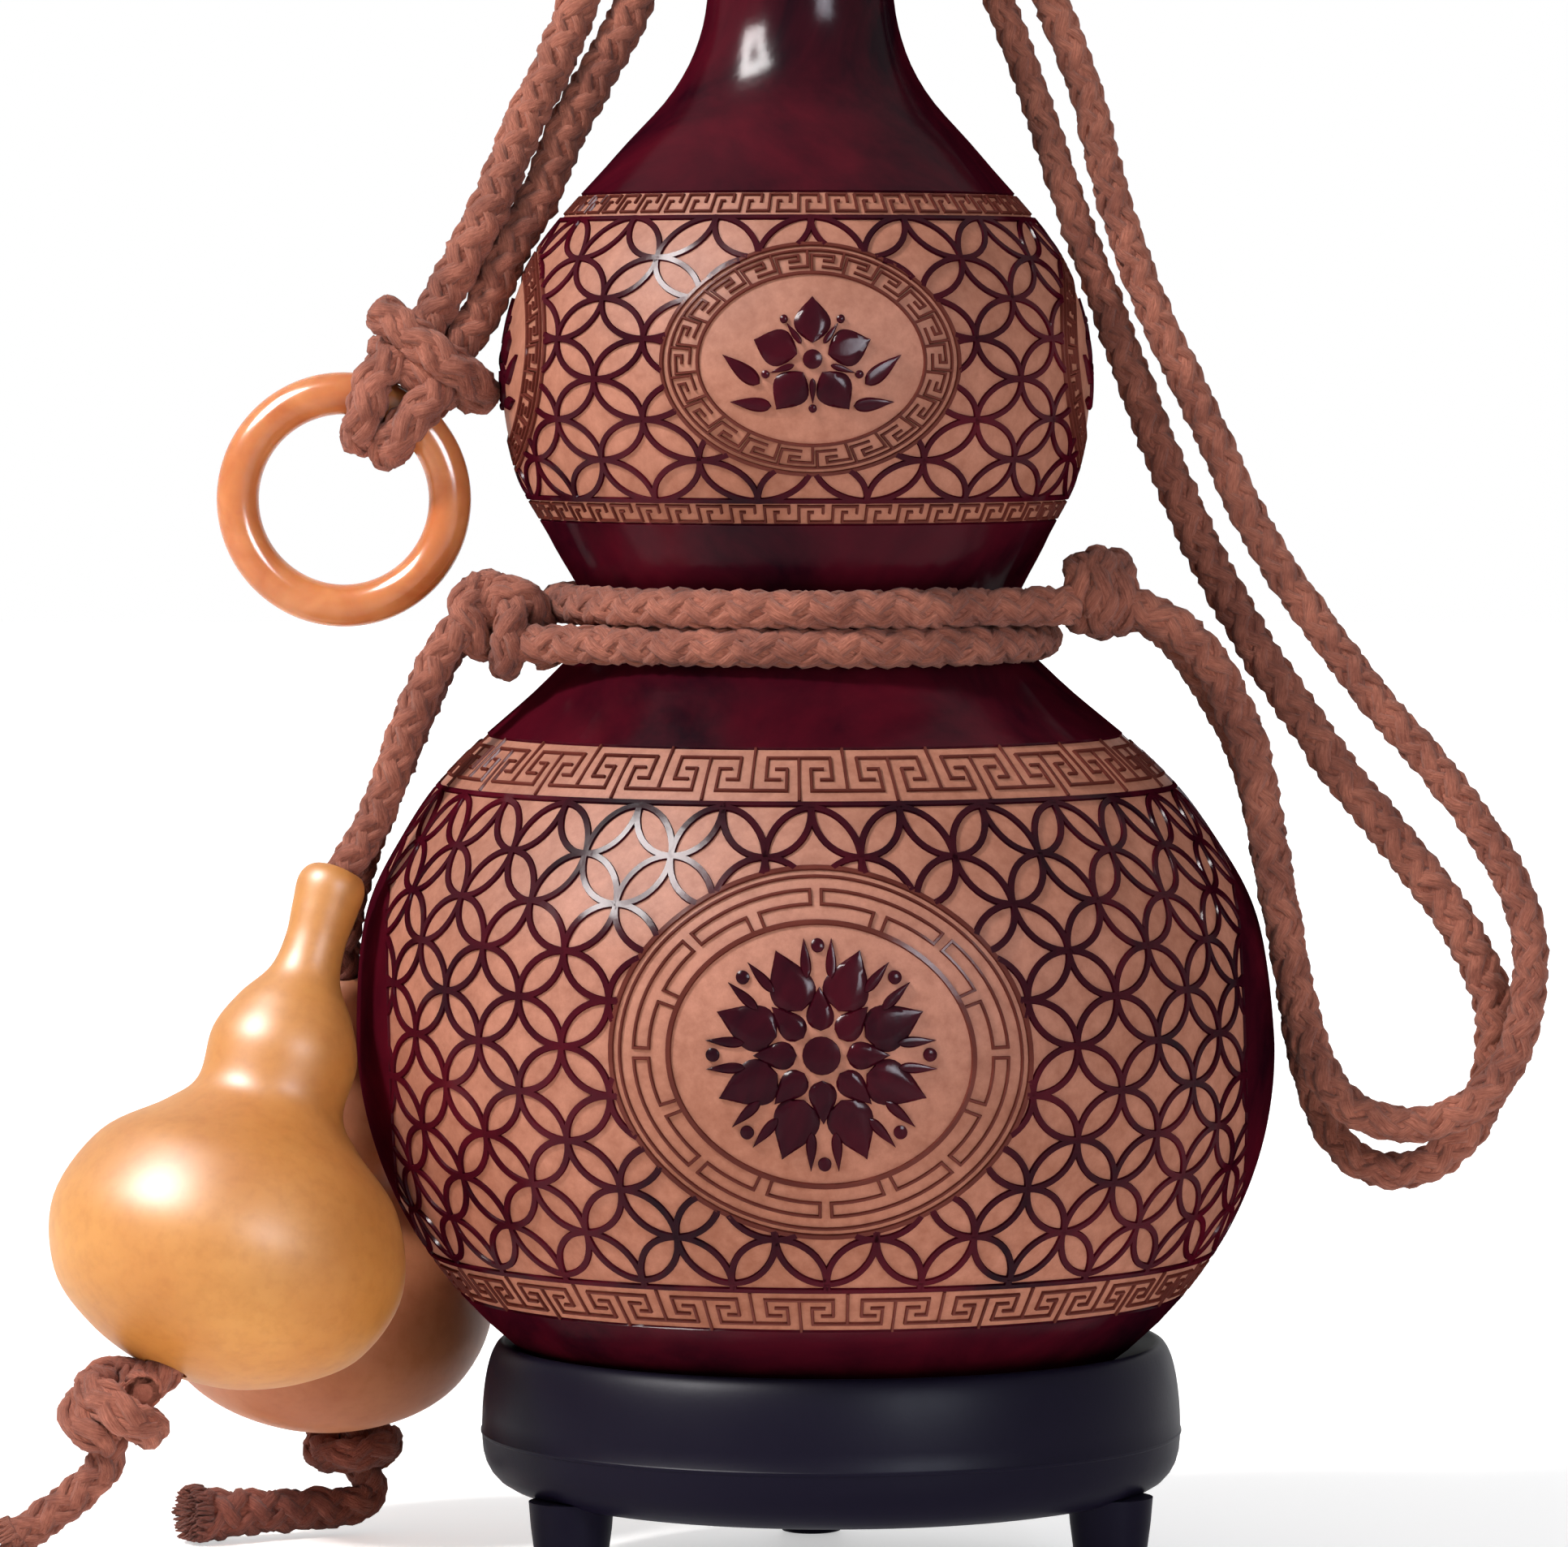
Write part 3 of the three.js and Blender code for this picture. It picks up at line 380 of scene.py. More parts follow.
def feed(tree, **sources):
    """Links sources to the shader's sockets, named with _ for a space."""
    for socket, source in sources.items():
        tree.links.new(source, tree.nodes["Principled BSDF"].inputs[socket.replace("_", " ")])


def tinted(tree, colours, tints, amount):
    """The colours multiplied by the tints, as much as the amount says."""
    mix = node(tree, "Mix", data_type="RGBA", blend_type="MULTIPLY")
    mix.inputs[0].default_value = amount
    tree.links.new(colours, mix.inputs[6])
    tree.links.new(tints, mix.inputs[7])
    return mix.outputs[2]


def bump(tree, height, strength, distance):
    made = node(tree, "Bump", Strength=strength, Distance=distance)
    tree.links.new(height, made.inputs["Height"])
    return made.outputs["Normal"]


cotton, tree, place = new_material(
    "brown_cotton", (0.42, 0.19, 0.12), 0.92, Sheen_Weight=0.14, Sheen_Roughness=0.5,
    Specular_IOR_Level=0.08)
fibre_map = node(tree, "Mapping", place["UV"], Scale=(1.0, 9.0, 1.0), Rotation=(0, 0, 0.55))
fibres = mottled(tree, fibre_map.outputs[0], 0.3, (0.25, 0.068, 0.042), 0.7, (0.6, 0.228, 0.15),
                 Scale=3.2, Detail=5.0, Roughness=0.65)
soiling = mottled(tree, place["Object"], 0.38, (0.46, 0.36, 0.35), 0.62, (1.12, 1.08, 1.04),
                  Scale=130.0, Detail=8.0, Roughness=0.68)
fuzz = rough_height(tree, place["Object"], 2100.0, 3.0, 0.6)
fuzzy = node(tree, "Math", fibres.outputs["Height"], fuzz, operation="ADD")
feed(tree, Base_Color=tinted(tree, fibres.outputs["Color"], soiling.outputs["Color"], 0.75),
     Normal=bump(tree, fuzzy.outputs[0], 0.7, 0.0004))

# The strap
# Two strands leave the knot at the right of the waist, hang in a loop beside the bottle, rise
# behind its neck, where they lie in the collar's groove, and come down to the ring's knot.

def millimetres(points):
    return [Vector(point) / 1000 for point in points]


STRAP_OUTER = [
    (41.5, -14.2, 137.6),
    (46.6, -14.6, 135.4), (50, -14.2, 133.5), (53.8, -12.2, 129.8), (57.4, -9.6, 123.5),
    (59.8, -8.4, 118), (61.9, -7.6, 109.8), (63.4, -7.8, 100.8), (65, -8.2, 91.8), (66.6, -9, 84),
    (68.2, -10, 77.4), (70.6, -12, 71.2), (74.4, -13, 66.9), (79, -14, 65), (84.4, -14, 64.8),
    (89.6, -14, 66.6), (94.4, -13, 70.6), (97.4, -12, 76.4), (98.9, -11, 83.2), (99, -10, 90),
    (97.3, -9, 96.6), (93.3, -8, 104), (86.6, -7, 113.2), (78.6, -6, 122.3), (71.6, -5, 131.4),
    (65.2, -4, 140.5), (59.9, -3, 149.6), (55.9, -2, 158.6), (51.7, -1, 167.6), (47.4, 0, 176.6),
    (43.8, 1, 186), (41, 2, 195), (37.6, 3.6, 208.4), (32.8, 5.4, 221), (29.2, 7.6, 231),
    (24.4, 10.4, 238),
]
STRAP_INNER = [
    (41, -9.6, 136.4),
    (45.6, -9, 135), (48.8, -8.2, 133), (52.8, -5, 128.6), (57, -1.5, 121.8),
    (60.2, 1.5, 115.6), (62.4, 3.4, 108.5), (64, 4.6, 100), (65.8, 5, 92), (67, 4.4, 84),
    (68, 3, 76), (69.4, 0.6, 69.6), (71.4, -1.6, 64), (74.6, -4, 59.6), (79, -6, 57.6),
    (83.6, -7, 57.9), (88, -7.4, 60.4), (91.6, -7, 64.6), (94, -6, 70.4), (94.8, -4.6, 76.8),
    (94.3, -3.6, 82), (92.2, -3, 87), (88.8, -2.4, 93.2), (81.4, -1, 103), (74, 0, 112),
    (68, 1, 120.8), (62, 2, 129.8), (56.8, 2.6, 139), (52.4, 3, 148), (48.6, 3.2, 157),
    (45.2, 3.6, 166), (41.8, 4, 175.2), (38.4, 4.6, 184.4), (35, 5.4, 194), (30.6, 6.6, 207.4),
    (25.6, 8, 221), (22, 9.6, 229.4), (17.8, 11.8, 235.4),
]
OUTER_LEFT = [
    (-26.6, 10.4, 238), (-29.8, 7.6, 231), (-32.9, 5.4, 221), (-36.4, 4, 212), (-40.9, 2.4, 203),
    (-44.4, -0.8, 194), (-48.4, -3.4, 185.4), (-52.2, -4, 178.4),
    (-54.2, -5, 174.4), (-55, -5.4, 170.6),
]
INNER_LEFT = [
    (-21.4, 11.8, 235.4), (-23.4, 9.6, 229.4), (-25.2, 8, 221), (-29.6, 6, 212), (-34.6, 5, 203),
    (-38.2, 3, 194), (-42.6, -0.6, 185.8), (-47.1, -2.6, 175.9),
    (-50, -4, 171.8), (-52.4, -4.6, 168.4),
]
NECK_X = -2.1


def behind_neck(radius, height):
    points = []
    for angle in (38, 64, 90, 116, 142):
        across = math.cos(math.radians(angle))
        points.append((NECK_X + radius * across, radius * math.sin(math.radians(angle)),
                       height - 1.2 * abs(across)))
    return points


outer_route = smooth_route(millimetres(STRAP_OUTER + behind_neck(23.4, 242.6) + OUTER_LEFT))
inner_route = smooth_route(millimetres(STRAP_INNER + behind_neck(18, 239) + INNER_LEFT))
strap_outer = plait("strap_outer", outer_route, girth=(
    (0, 1.05), (0.06, 1.08), (0.18, 1), (0.45, 0.98), (0.6, 0.95), (0.72, 1), (0.82, 1.14),
    (1, 1.16)))
strap_inner = plait("strap_inner", inner_route, girth=(
    (0, 1.05), (0.06, 1.1), (0.2, 0.92), (0.27, 1.12), (0.38, 1.12), (0.52, 1.04), (0.64, 0.84),
    (0.74, 0.95), (0.84, 1.14), (1, 1.16)))
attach(strap_outer, "bottle")
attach(strap_inner, "bottle")
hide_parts("strap_outer_cord")
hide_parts("strap_inner_cord")

# The winding and its two knots
# The same cord, pulled tight, goes twice round the waist. A barrel knot holds it at each end:
# the right one lets out the strap, the left one the two pendants.

WOUND_CORD = 0.0055
WAIST_X = -0.002
WOUND_RADIUS = 0.0337
WOUND_LOW = 0.1314
WOUND_RISE = 0.0052
KNOT_REACH = 0.043
KNOT_TURN = 16


def wound(angle):
    share = min(max((angle - 325) / 220, 0), 1)
    return Vector((WAIST_X + WOUND_RADIUS * math.cos(math.radians(angle)),
                   WOUND_RADIUS * math.sin(math.radians(angle)),
                   WOUND_LOW + WOUND_RISE * share * share * (3 - 2 * share)))


leave = KNOT_TURN + math.degrees(math.acos(WOUND_RADIUS / KNOT_REACH))
winding = [wound(180 + leave + (540 - 2 * leave) * i / 90) for i in range(91)]
before_first = (winding[0] - winding[1]).normalized()
after_last = (winding[-1] - winding[-2]).normalized()
winding = [winding[0] + before_first * 0.024, winding[0] + before_first * 0.012, *winding,
           winding[-1] + after_last * 0.01, winding[-1] + after_last * 0.021]
waist_cord = plait("waist_winding", smooth_route(winding), WOUND_CORD)
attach(waist_cord, "bottle")
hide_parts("waist_cord")


def barrel(centre, axis, length, radius, turns, start=0.0, waist=0.2):
    """Route of a cord wrapped side by side about an axis, the end turns smaller by the waist."""
    along = Vector(axis).normalized()
    side = along.orthogonal().normalized()
    count = round(turns * 10)
    points = []
    for i in range(count + 1):
        share = i / count
        turn = start + math.tau * turns * share
        tight = 1 - waist * abs(2 * share - 1) ** 1.5 + 0.05 * math.sin(turn * 1.7)
        points.append(Vector(centre) + along * (length - CORD) * (share - 0.5)
                      + around((side, along.cross(side)), turn) * (radius - CORD / 2) * tight)
    return smooth_route(points, 0.001)


def knot_piece(name, routes, diameter=CORD):
    strands = [plait(f"{name}_{i}", route, diameter) for i, route in enumerate(routes)]
    pick(*strands)
    if len(strands) > 1:
        bpy.ops.object.join()
    strands[0].name = name
    return strands[0]


strap_knot = knot_piece("strap_knot_cord", [
    barrel((0.0394, -0.0119, 0.1383), (1, 0.1, -0.14), 0.0124, 0.007, 2.7, start=0.9, waist=0.36),
])
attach(strap_knot, "bottle")
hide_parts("strap_knot")

PENDANT_TURNS = [
    [
        (-36.6, -9, 128.6), (-38, -10.5, 132.4), (-38.9, -12, 136), (-40.9, -13.2, 138.2),
        (-43.7, -13.6, 138.1), (-45.2, -13.2, 136.2), (-44.5, -10, 134.5),
    ], [
        (-43.4, -9, 137), (-42.2, -12, 137.2), (-41.9, -15, 135.4), (-42.4, -16, 132),
        (-42.7, -15.2, 129.4), (-42.9, -12, 128.4), (-43, -9, 129.6),
    ], [
        (-43.5, -8.6, 138), (-45, -11.4, 139.2), (-47.2, -13.4, 138.6), (-48.5, -14.6, 136.4),
        (-48, -15.2, 133.8), (-47, -14, 131.6), (-45.4, -10.8, 131),
    ], [
        (-43.4, -12, 135), (-46.4, -13.2, 135.6), (-49.2, -15.4, 133.6), (-51.4, -16.7, 130.6),
    ], [
        (-43.4, -10.6, 134.4), (-46.6, -9, 134.6), (-49.4, -7.9, 132.4), (-51.5, -7.3, 129.2),
    ],
]
pendant_knot = knot_piece("pendant_knot_cord", [
    smooth_route(millimetres(turn), KNOT_STEP) for turn in PENDANT_TURNS], 0.0049)
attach(pendant_knot, "bottle")
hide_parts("pendant_knot")

# The ring's knot
# The strap's ends are tied together above the ring. Two loops of the cord hold the ring, a
# slanting turn binds them, and one cut end stands out at the upper left.

RING_CENTRE = Vector((-0.0656, -0.0046, 0.151))
RING_RADIUS = 0.0146
RING_THICK = 0.0062


def ring_loop(angle, heart):
    """From the knot's heart down behind the ring, under it, up its front and back."""
    out = around((Vector((1, 0, 0)), Vector((0, 0, 1))), math.radians(angle))
    reach = RING_THICK / 2 + 0.0003 + CORD * 0.42
    points = [heart + Vector((0, 0.0022, 0))]
    for turn in (60, 90, 130, 180, 230, 270, 300):
        off = around((out, Vector((0, 1, 0))), math.radians(turn)) * reach
        points.append(RING_CENTRE + out * RING_RADIUS + off)
    points.append(heart - Vector((0, 0.0036, 0)))
    return smooth_route(points, KNOT_STEP)


ring_knot = knot_piece("ring_knot_cord", [
    ring_loop(49, Vector((-0.0516, -0.0036, 0.1682))),
    ring_loop(75, Vector((-0.0578, -0.0036, 0.1712))),
    smooth_route(millimetres([
        (-60.4, -7.4, 177.3), (-59.2, -8.2, 176.3), (-57.3, -9.2, 174.9), (-53.5, -10.2, 171.9),
        (-49.5, -9.4, 169), (-46.8, -6.2, 166.4), (-47.2, -1.6, 165.6), (-51, 2, 167.4),
        (-56, 2.6, 170.6), (-59.2, -0.4, 172.2), (-58.4, -5.4, 170.8), (-55.4, -7.8, 168.8),
        (-52, -7, 166.8), (-50.4, -4, 166.2),
    ]), KNOT_STEP),
], 0.0058)
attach(ring_knot, "bottle")
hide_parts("ring_knot")

# The pendants' cords
# Each hangs from the left knot, goes through a drilled small gourd, is stopped under it by a
# knot, and ends in a frayed tail. The front tail hangs free, the rear one lies on the table.

FRONT_CORD = millimetres([
    (-49.1, -16, 133.4), (-50.9, -16.6, 131.4), (-56.5, -16.8, 119.4), (-60.3, -16.8, 108.4),
    (-62.8, -17, 103.8), (-67.2, -18.4, 96.5), (-68.7, -19.6, 91), (-72.9, -22.7, 76.4),
    (-80.5, -29.4, 50), (-84.4, -33.1, 40.6), (-88.2, -35.7, 33.7), (-90.4, -36.6, 31.4),
    (-95.2, -37.8, 27.9), (-96.7, -38.4, 20.6), (-99.2, -39, 17.7), (-102.6, -39.4, 15),
    (-109, -39.8, 10.4),
])
REAR_CORD = millimetres([
    (-49.6, -8.2, 131.8), (-51.3, -7.5, 129.8), (-57.6, 0.6, 116), (-63.6, 8.2, 101.4),
    (-66.5, 13.6, 91), (-67.5, 18.7, 80), (-68, 20.8, 74.8), (-69.1, 26.2, 61),
    (-70.4, 35.6, 36), (-68.6, 40.6, 25), (-67.2, 43.2, 17.8), (-66.9, 44, 15.4),
    (-66.2, 44.6, 9.6), (-64.6, 43.4, 5.6), (-66.2, 42, 4.2), (-69.6, 40.6, 3.7),
    (-76, 37.6, 3.7), (-83, 34, 3.9), (-89.4, 30.6, 4),
])
front_cord_route = smooth_route(FRONT_CORD)
rear_cord_route = smooth_route(REAR_CORD)
front_cord = plait("front_cord", front_cord_route, frayed=0.004)
rear_cord = plait("rear_cord", rear_cord_route, frayed=0.012,
                  girth=((0, 1), (0.84, 1), (0.88, 1.2), (1, 1.3)))
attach(front_cord, "front_pendant")
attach(rear_cord, "rear_pendant")
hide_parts("front_pendant_cord", "front_tail")
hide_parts("rear_pendant_cord", "rear_tail")

front_stop = knot_piece("front_stop_knot", [smooth_route(millimetres([
    (-91.4, -39.6, 30.6), (-92.4, -35.2, 31.8), (-95.4, -33.6, 32.2), (-98.2, -36.4, 31.2),
    (-97, -40.6, 30.2), (-93.8, -42.3, 28), (-90.8, -40, 26), (-91.4, -36, 25.6),
    (-95, -33.8, 27.4), (-99.4, -35.6, 28.6), (-100.4, -38.4, 27.6), (-98.4, -40.4, 25.6),
    (-95.6, -39, 24.2),
]), KNOT_STEP)], 0.0056)
rear_stop = knot_piece("rear_stop_knot", [
    barrel((-0.0674, 0.0443, 0.0122), (0.05, 0.15, -0.985), 0.0078, 0.0077, 1.6, start=0.4),
])


def retoned(material, name, toned, dark, light):
    """A copy of a material, with other colours in one of its mottled nodes."""
    other = material.copy()
    other.name = name
    for socket, colour in (("Dark", dark), ("Light", light)):
        other.node_tree.nodes[toned.name].inputs[socket].default_value = (*colour, 1)
    return other


# Painted shade: the rear pendant's cord and stop knot get a darker copy of the cotton, for the
# shadow they lie in
shade_painted_cotton = retoned(cotton, "shade_painted_cotton", fibres, (0.15, 0.036, 0.024), (0.38, 0.13, 0.088))
for piece in (rear_cord, rear_stop):
    piece.material_slots[0].material = shade_painted_cotton
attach(front_stop, "front_pendant")
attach(rear_stop, "rear_pendant")
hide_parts("front_end_knot")
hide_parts("rear_end_knot")

# The gourd
# A dried double gourd, hollow, its skin lacquered deep red and polished. Bands and panels were
# cut back to the tan wood, so that the pattern stands as lines of lacquer. Here every cut zone
# is sunk 0.35 mm and every line stands on it, bent to the gourd's own curve.

GOURD_STATIONS = [
    (63.2, 65.5), (64.2, 75.5), (62.4, 92.5), (56.7, 104.15), (49.2, 114), (35.6, 126),
    (29.6, 134), (34.4, 144.9), (39.5, 155.2), (41.3, 169.7), (37.3, 184.3), (25.7, 198.5),
    (17.65, 207.65), (13.8, 216), (12.6, 226), (12.2, 240),
]
LEAN_STATIONS = [(1.6, 19.5), (0, 75.5), (-2, 134), (-2.7, 169.7), (-2.1, 216)]
BELLY_RADIUS, BELLY_HEIGHT, BELLY_DROP = 64.2, 75.5, 57.8
WALL = 4.0
MOUTH, LIP = 8.8, 240
CUT_DEPTH = 0.00035
LINE_FOOT = 0.00045
LINE_FLARE = 0.0001
PANEL_TURN = 0.5
LOW_BANDS = ((40.1, 45.7), (111.7, 118.4))
HIGH_BANDS = ((148.0, 151.0), (190.3, 193.5))
LOW_LATTICE = (46.1, 111.3)
HIGH_LATTICE = (151.3, 189.9)
LOW_COLUMN = 6.54
LOW_ROWS = (47.1, 6.37)
PANEL_REACH = 58.8
PANEL_WIDEST = 88.4
HIGH_COLUMN = 11.25
HIGH_TURN = 3.0
LOW_LINE, LOW_EDGE, LOW_KEY = 0.8, 0.65, 0.31
HIGH_LINE, HIGH_EDGE, HIGH_KEY = 0.7, 0.6, 0.26


def through(stations, steps):
    """Points on a smooth outline through the given (across, height) ones."""
    points = [Vector(station) for station in stations]
    curve = []
    for before, start, end, after in zip([points[0], *points], points, points[1:],
                                         [*points[2:], points[-1]]):
        curve += [eased(start, end, (end - before) / 2, (after - start) / 2, k / steps)
                  for k in range(steps)]
    return [*curve, points[-1]]


UPPER_OUTLINE = through(GOURD_STATIONS, 16)
LEAN_LINE = through(LEAN_STATIONS, 16)


def across_at(outline, height):
    for low, high in zip(outline, outline[1:]):
        if low.y <= height <= high.y:
            return low.lerp(high, (height - low.y) / (high.y - low.y)).x
    return outline[0].x if height < outline[0].y else outline[-1].x


def gourd_radius(height):
    if height >= BELLY_HEIGHT:
        return across_at(UPPER_OUTLINE, height)
    drop = (BELLY_HEIGHT - height) / BELLY_DROP
    return BELLY_RADIUS * math.sqrt(max(1 - drop * drop, 0))


def skin(azimuth, height, rise=0.0):
    """Place and normal on the gourd; azimuth 0 is the front, 90 the right, rise in metres."""
    radius = gourd_radius(height)
    slope = (gourd_radius(height + 0.2) - gourd_radius(height - 0.2)) / 0.4
    turn = math.radians(azimuth)
    outward = Vector((math.sin(turn), -math.cos(turn), -slope)).normalized()
    place = Vector((radius * math.sin(turn) + across_at(LEAN_LINE, height),
                    -radius * math.cos(turn), height)) / 1000
    return place + outward * rise, outward


def stretched(low, high, step):
    count = max(1, round((high - low) / step))
    return [low + (high - low) * i / count for i in range(count)]


edges = [*LOW_BANDS[0], *LOW_BANDS[1], HIGH_BANDS[0][0], HIGH_BANDS[1][1], LIP]
rows = [20.4, 21.2, 22.5, 25, 28.5, 32.5, 36.5]
for low, high, step in zip(edges, edges[1:], (1.9, 2.4, 1.9, 1.8, 1.8, 1.8)):
    rows += stretched(low, high, step)
inner_rows = stretched(24.9, 224, 5)[:0:-1]
outline = [(0, 20.7), (5.7, 20.1), (12, 19.6), (17, 19.5)]
outline += [(gourd_radius(row), row) for row in rows if row > 40 or gourd_radius(row) > 17.5]
outline += [(12.2, LIP), (11.9, 240.3), (9.1, 240.3), (MOUTH, LIP), (MOUTH, 224)]
outline += [(max(gourd_radius(row) - WALL, MOUTH), row) for row in inner_rows]
outline += [(0, 24.7)]


def spun(name, outline, steps, closed=False):
    """Body turned about the upright axis from (radius, height) points in millimetres."""
    data = bpy.data.meshes.new(name)
    edges = [(i, i + 1) for i in range(len(outline) - 1)]
    if closed:
        edges.append((len(outline) - 1, 0))
    data.from_pydata([(0, -radius / 1000, height / 1000) for radius, height in outline], edges, [])
    body = placed(name, data)
    pick(body)
    bpy.ops.object.mode_set(mode="EDIT")
    bpy.ops.mesh.select_all(action="SELECT")
    bpy.ops.mesh.spin(steps=steps, angle=math.tau, center=(0, 0, 0), axis=(0, 0, 1))
    bpy.ops.mesh.select_all(action="SELECT")
    bpy.ops.mesh.remove_doubles(threshold=0.00001)
    bpy.ops.mesh.normals_make_consistent(inside=False)
    bpy.ops.mesh.select_all(action="DESELECT")
    bpy.ops.object.mode_set(mode="OBJECT")
    return body


def smooth_from(piece, degrees):
    pick(piece)
    bpy.ops.object.shade_smooth_by_angle(angle=math.radians(degrees))


gourd_body = spun("gourd_body", outline, 144)
data = gourd_body.data
bpy.ops.object.mode_set(mode="EDIT")
cut = bmesh.from_edit_mesh(data)
for face in cut.faces:
    middle = face.calc_center_median()
    height = middle.z * 1000
    outside = face.normal.x * middle.x + face.normal.y * middle.y > 0
    in_belly = LOW_BANDS[0][0] < height < LOW_BANDS[1][1]
    in_chest = HIGH_BANDS[0][0] < height < HIGH_BANDS[1][1]
    face.select = outside and (in_belly or in_chest)
bmesh.update_edit_mesh(data)
bpy.ops.mesh.inset(thickness=0.00016, depth=-CUT_DEPTH, use_even_offset=True)
cut = bmesh.from_edit_mesh(data)
for face in cut.faces:
    face.material_index = 1 if face.select else 0
for vertex in cut.verts:
    vertex.co.x += across_at(LEAN_LINE, vertex.co.z * 1000) / 1000
bmesh.update_edit_mesh(data)
bpy.ops.object.mode_set(mode="OBJECT")
smooth_from(gourd_body, 38)
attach(gourd_body, "bottle")
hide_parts("gourd_shell")

lacquer, tree, place = new_material("red_lacquer", (0.07, 0.006, 0.01), 0.17)
facing = node(tree, "LayerWeight", Blend=0.5).outputs["Facing"]
clouds = mottled(tree, place["Object"], 0.34, (0.012, 0.0015, 0.005), 0.7, (0.09, 0.0045, 0.012),
                 Scale=34.0, Detail=7.0, Roughness=0.62, Distortion=0.6)
level = node(tree, "SeparateXYZ", place["Object"]).outputs["Z"]
# Painted shadow: the lacquer's colour darkens below 40 mm, down to a fifth at 28 mm, where the
# stand's seat shades the belly
painted_seat_shadow = ranged(tree, level, 0.028, 0.04, 0.2, 1)
ripple = rough_height(tree, place["Object"], 150.0, 4.0)
feed(tree, Specular_IOR_Level=ranged(tree, facing, 0.3, 0.64, 0.055, 0.0),
     Base_Color=tinted(tree, clouds.outputs["Color"], painted_seat_shadow, 1.0),
     Normal=bump(tree, ripple, 0.2, 0.0005))
fine_line = retoned(lacquer, "fine_line_lacquer", clouds, (0.085, 0.018, 0.013),
                    (0.17, 0.042, 0.03))

cut_wood, tree, place = new_material("cut_gourd_wood", (0.52, 0.24, 0.125), 0.62,
                                     Specular_IOR_Level=0.12)
pith = mottled(tree, place["Object"], 0.3, (0.365, 0.135, 0.082), 0.7, (0.515, 0.218, 0.144),
               Scale=420.0, Detail=6.0, Roughness=0.7)
stain = mottled(tree, place["Object"], 0.35, (0.84, 0.78, 0.72), 0.65, (1.06, 1.04, 1.02),
                Scale=45.0, Detail=4.0, Roughness=0.55)
feed(tree, Base_Color=tinted(tree, pith.outputs["Color"], stain.outputs["Color"], 1.0),
     Normal=bump(tree, pith.outputs["Height"], 0.4, 0.0002))
data.materials.append(lacquer)
data.materials.append(cut_wood)


def faces_between(mesh, rows, ring=False):
    """Faces between neighbouring rows of vertices, all the way round where they are rings."""
    for first, second in zip(rows, rows[1:]):
        for k in range(len(first) - (not ring)):
            after = (k + 1) % len(first)
            mesh.faces.new((first[k], first[after], second[after], second[k]))


def carve_line(mesh, places, width, closed=False):
    """One raised line of lacquer, in millimetres of width, along (azimuth, height) places."""
    points = [skin(*place) for place in places]
    count = len(points)
    half = width / 2000
    rows = []
    for i, (point, outward) in enumerate(points):
        behind = points[i - 1][0] if closed or i > 0 else None
        ahead = points[(i + 1) % count][0] if closed or i < count - 1 else None
        into = (point - behind).normalized() if behind else (ahead - point).normalized()
        onward = (ahead - point).normalized() if ahead else into
        along = (into + onward).normalized()
        side = outward.cross(along).normalized() * min(1 / max(along.dot(into), 0.5), 1.6)
        rows.append([mesh.verts.new(point + side * reach - outward * sunk) for reach, sunk in (
            (half + LINE_FLARE, LINE_FOOT), (half, 0), (-half, 0),
            (-half - LINE_FLARE, LINE_FOOT))])
    faces_between(mesh, rows + rows[:1] if closed else rows)
    if not closed:
        mesh.faces.new(rows[0])
        mesh.faces.new(rows[-1][::-1])


def circle_lines(mesh, centre, halves, width, allowed):
    """A circle of the lattice, kept only where it is allowed."""
    count = 48
    places = [(centre[0] + halves[0] * math.cos(math.tau * i / count),
               centre[1] + halves[1] * math.sin(math.tau * i / count)) for i in range(count)]
    room = [allowed(*place) for place in places]
    if min(room) >= 0:
        carve_line(mesh, places, width, closed=True)
        return
    if max(room) < 0:
        return
    first = next(i for i in range(count) if room[i - 1] < 0 <= room[i])
    run = []
    for step in range(count + 1):
        i = (first + step) % count
        before = (i - 1) % count
        if (room[i] < 0) != (room[before] < 0):
            share = room[before] / (room[before] - room[i])
            run.append(tuple(a + (b - a) * share for a, b in zip(places[before], places[i])))
            if room[i] < 0 and len(run) > 1:
                carve_line(mesh, run, width)
                run = []
        if room[i] >= 0 and step < count:
            run.append(places[i])


def outside_roundel(azimuth, height, roundel):
    (middle, level), (wide, tall) = roundel
    across = (azimuth - middle + 180) % 360 - 180
    return (math.hypot(across / wide, (height - level) / tall) - 1) * tall


def finished_carving(mesh, name, material=lacquer):
    piece = piece_from(mesh, name, material)
    smooth_from(piece, 40)
    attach(piece, "bottle")


def band_line(mesh, height, width):
    carve_line(mesh, [(2 * i, height) for i in range(180)], width, closed=True)


# Lower bulb: two panels of linked circles, each with a roundel, between two key-pattern bands
LOW_ROUNDELS = [((PANEL_TURN + 180 * i + 0.1, 78.5), (26.0, 24.7)) for i in range(2)]


def panel_half(height):
    """Half the width of a panel in degrees: its sides are nearly straight seen from the front."""
    return min(PANEL_WIDEST, math.degrees(math.asin(min(1, PANEL_REACH / gourd_radius(height)))))


carving = bmesh.new()
for side, roundel in enumerate(LOW_ROUNDELS):
    turn = PANEL_TURN + 180 * side

    def in_panel(azimuth, height):
        return min(height - LOW_LATTICE[0], LOW_LATTICE[1] - height,
                   panel_half(height) + 0.4 - abs(azimuth - turn),
                   outside_roundel(azimuth, height, roundel))

    for column in range(-13, 14):
        for row in range(11):
            if (column + row) % 2:
                circle_lines(
                    carving, (turn + column * LOW_COLUMN, LOW_ROWS[0] + row * LOW_ROWS[1]),
                    (LOW_COLUMN, LOW_ROWS[1]), LOW_LINE, in_panel)
for edge in LOW_LATTICE:
    band_line(carving, edge, LOW_EDGE)
finished_carving(carving, "lower_lattice")

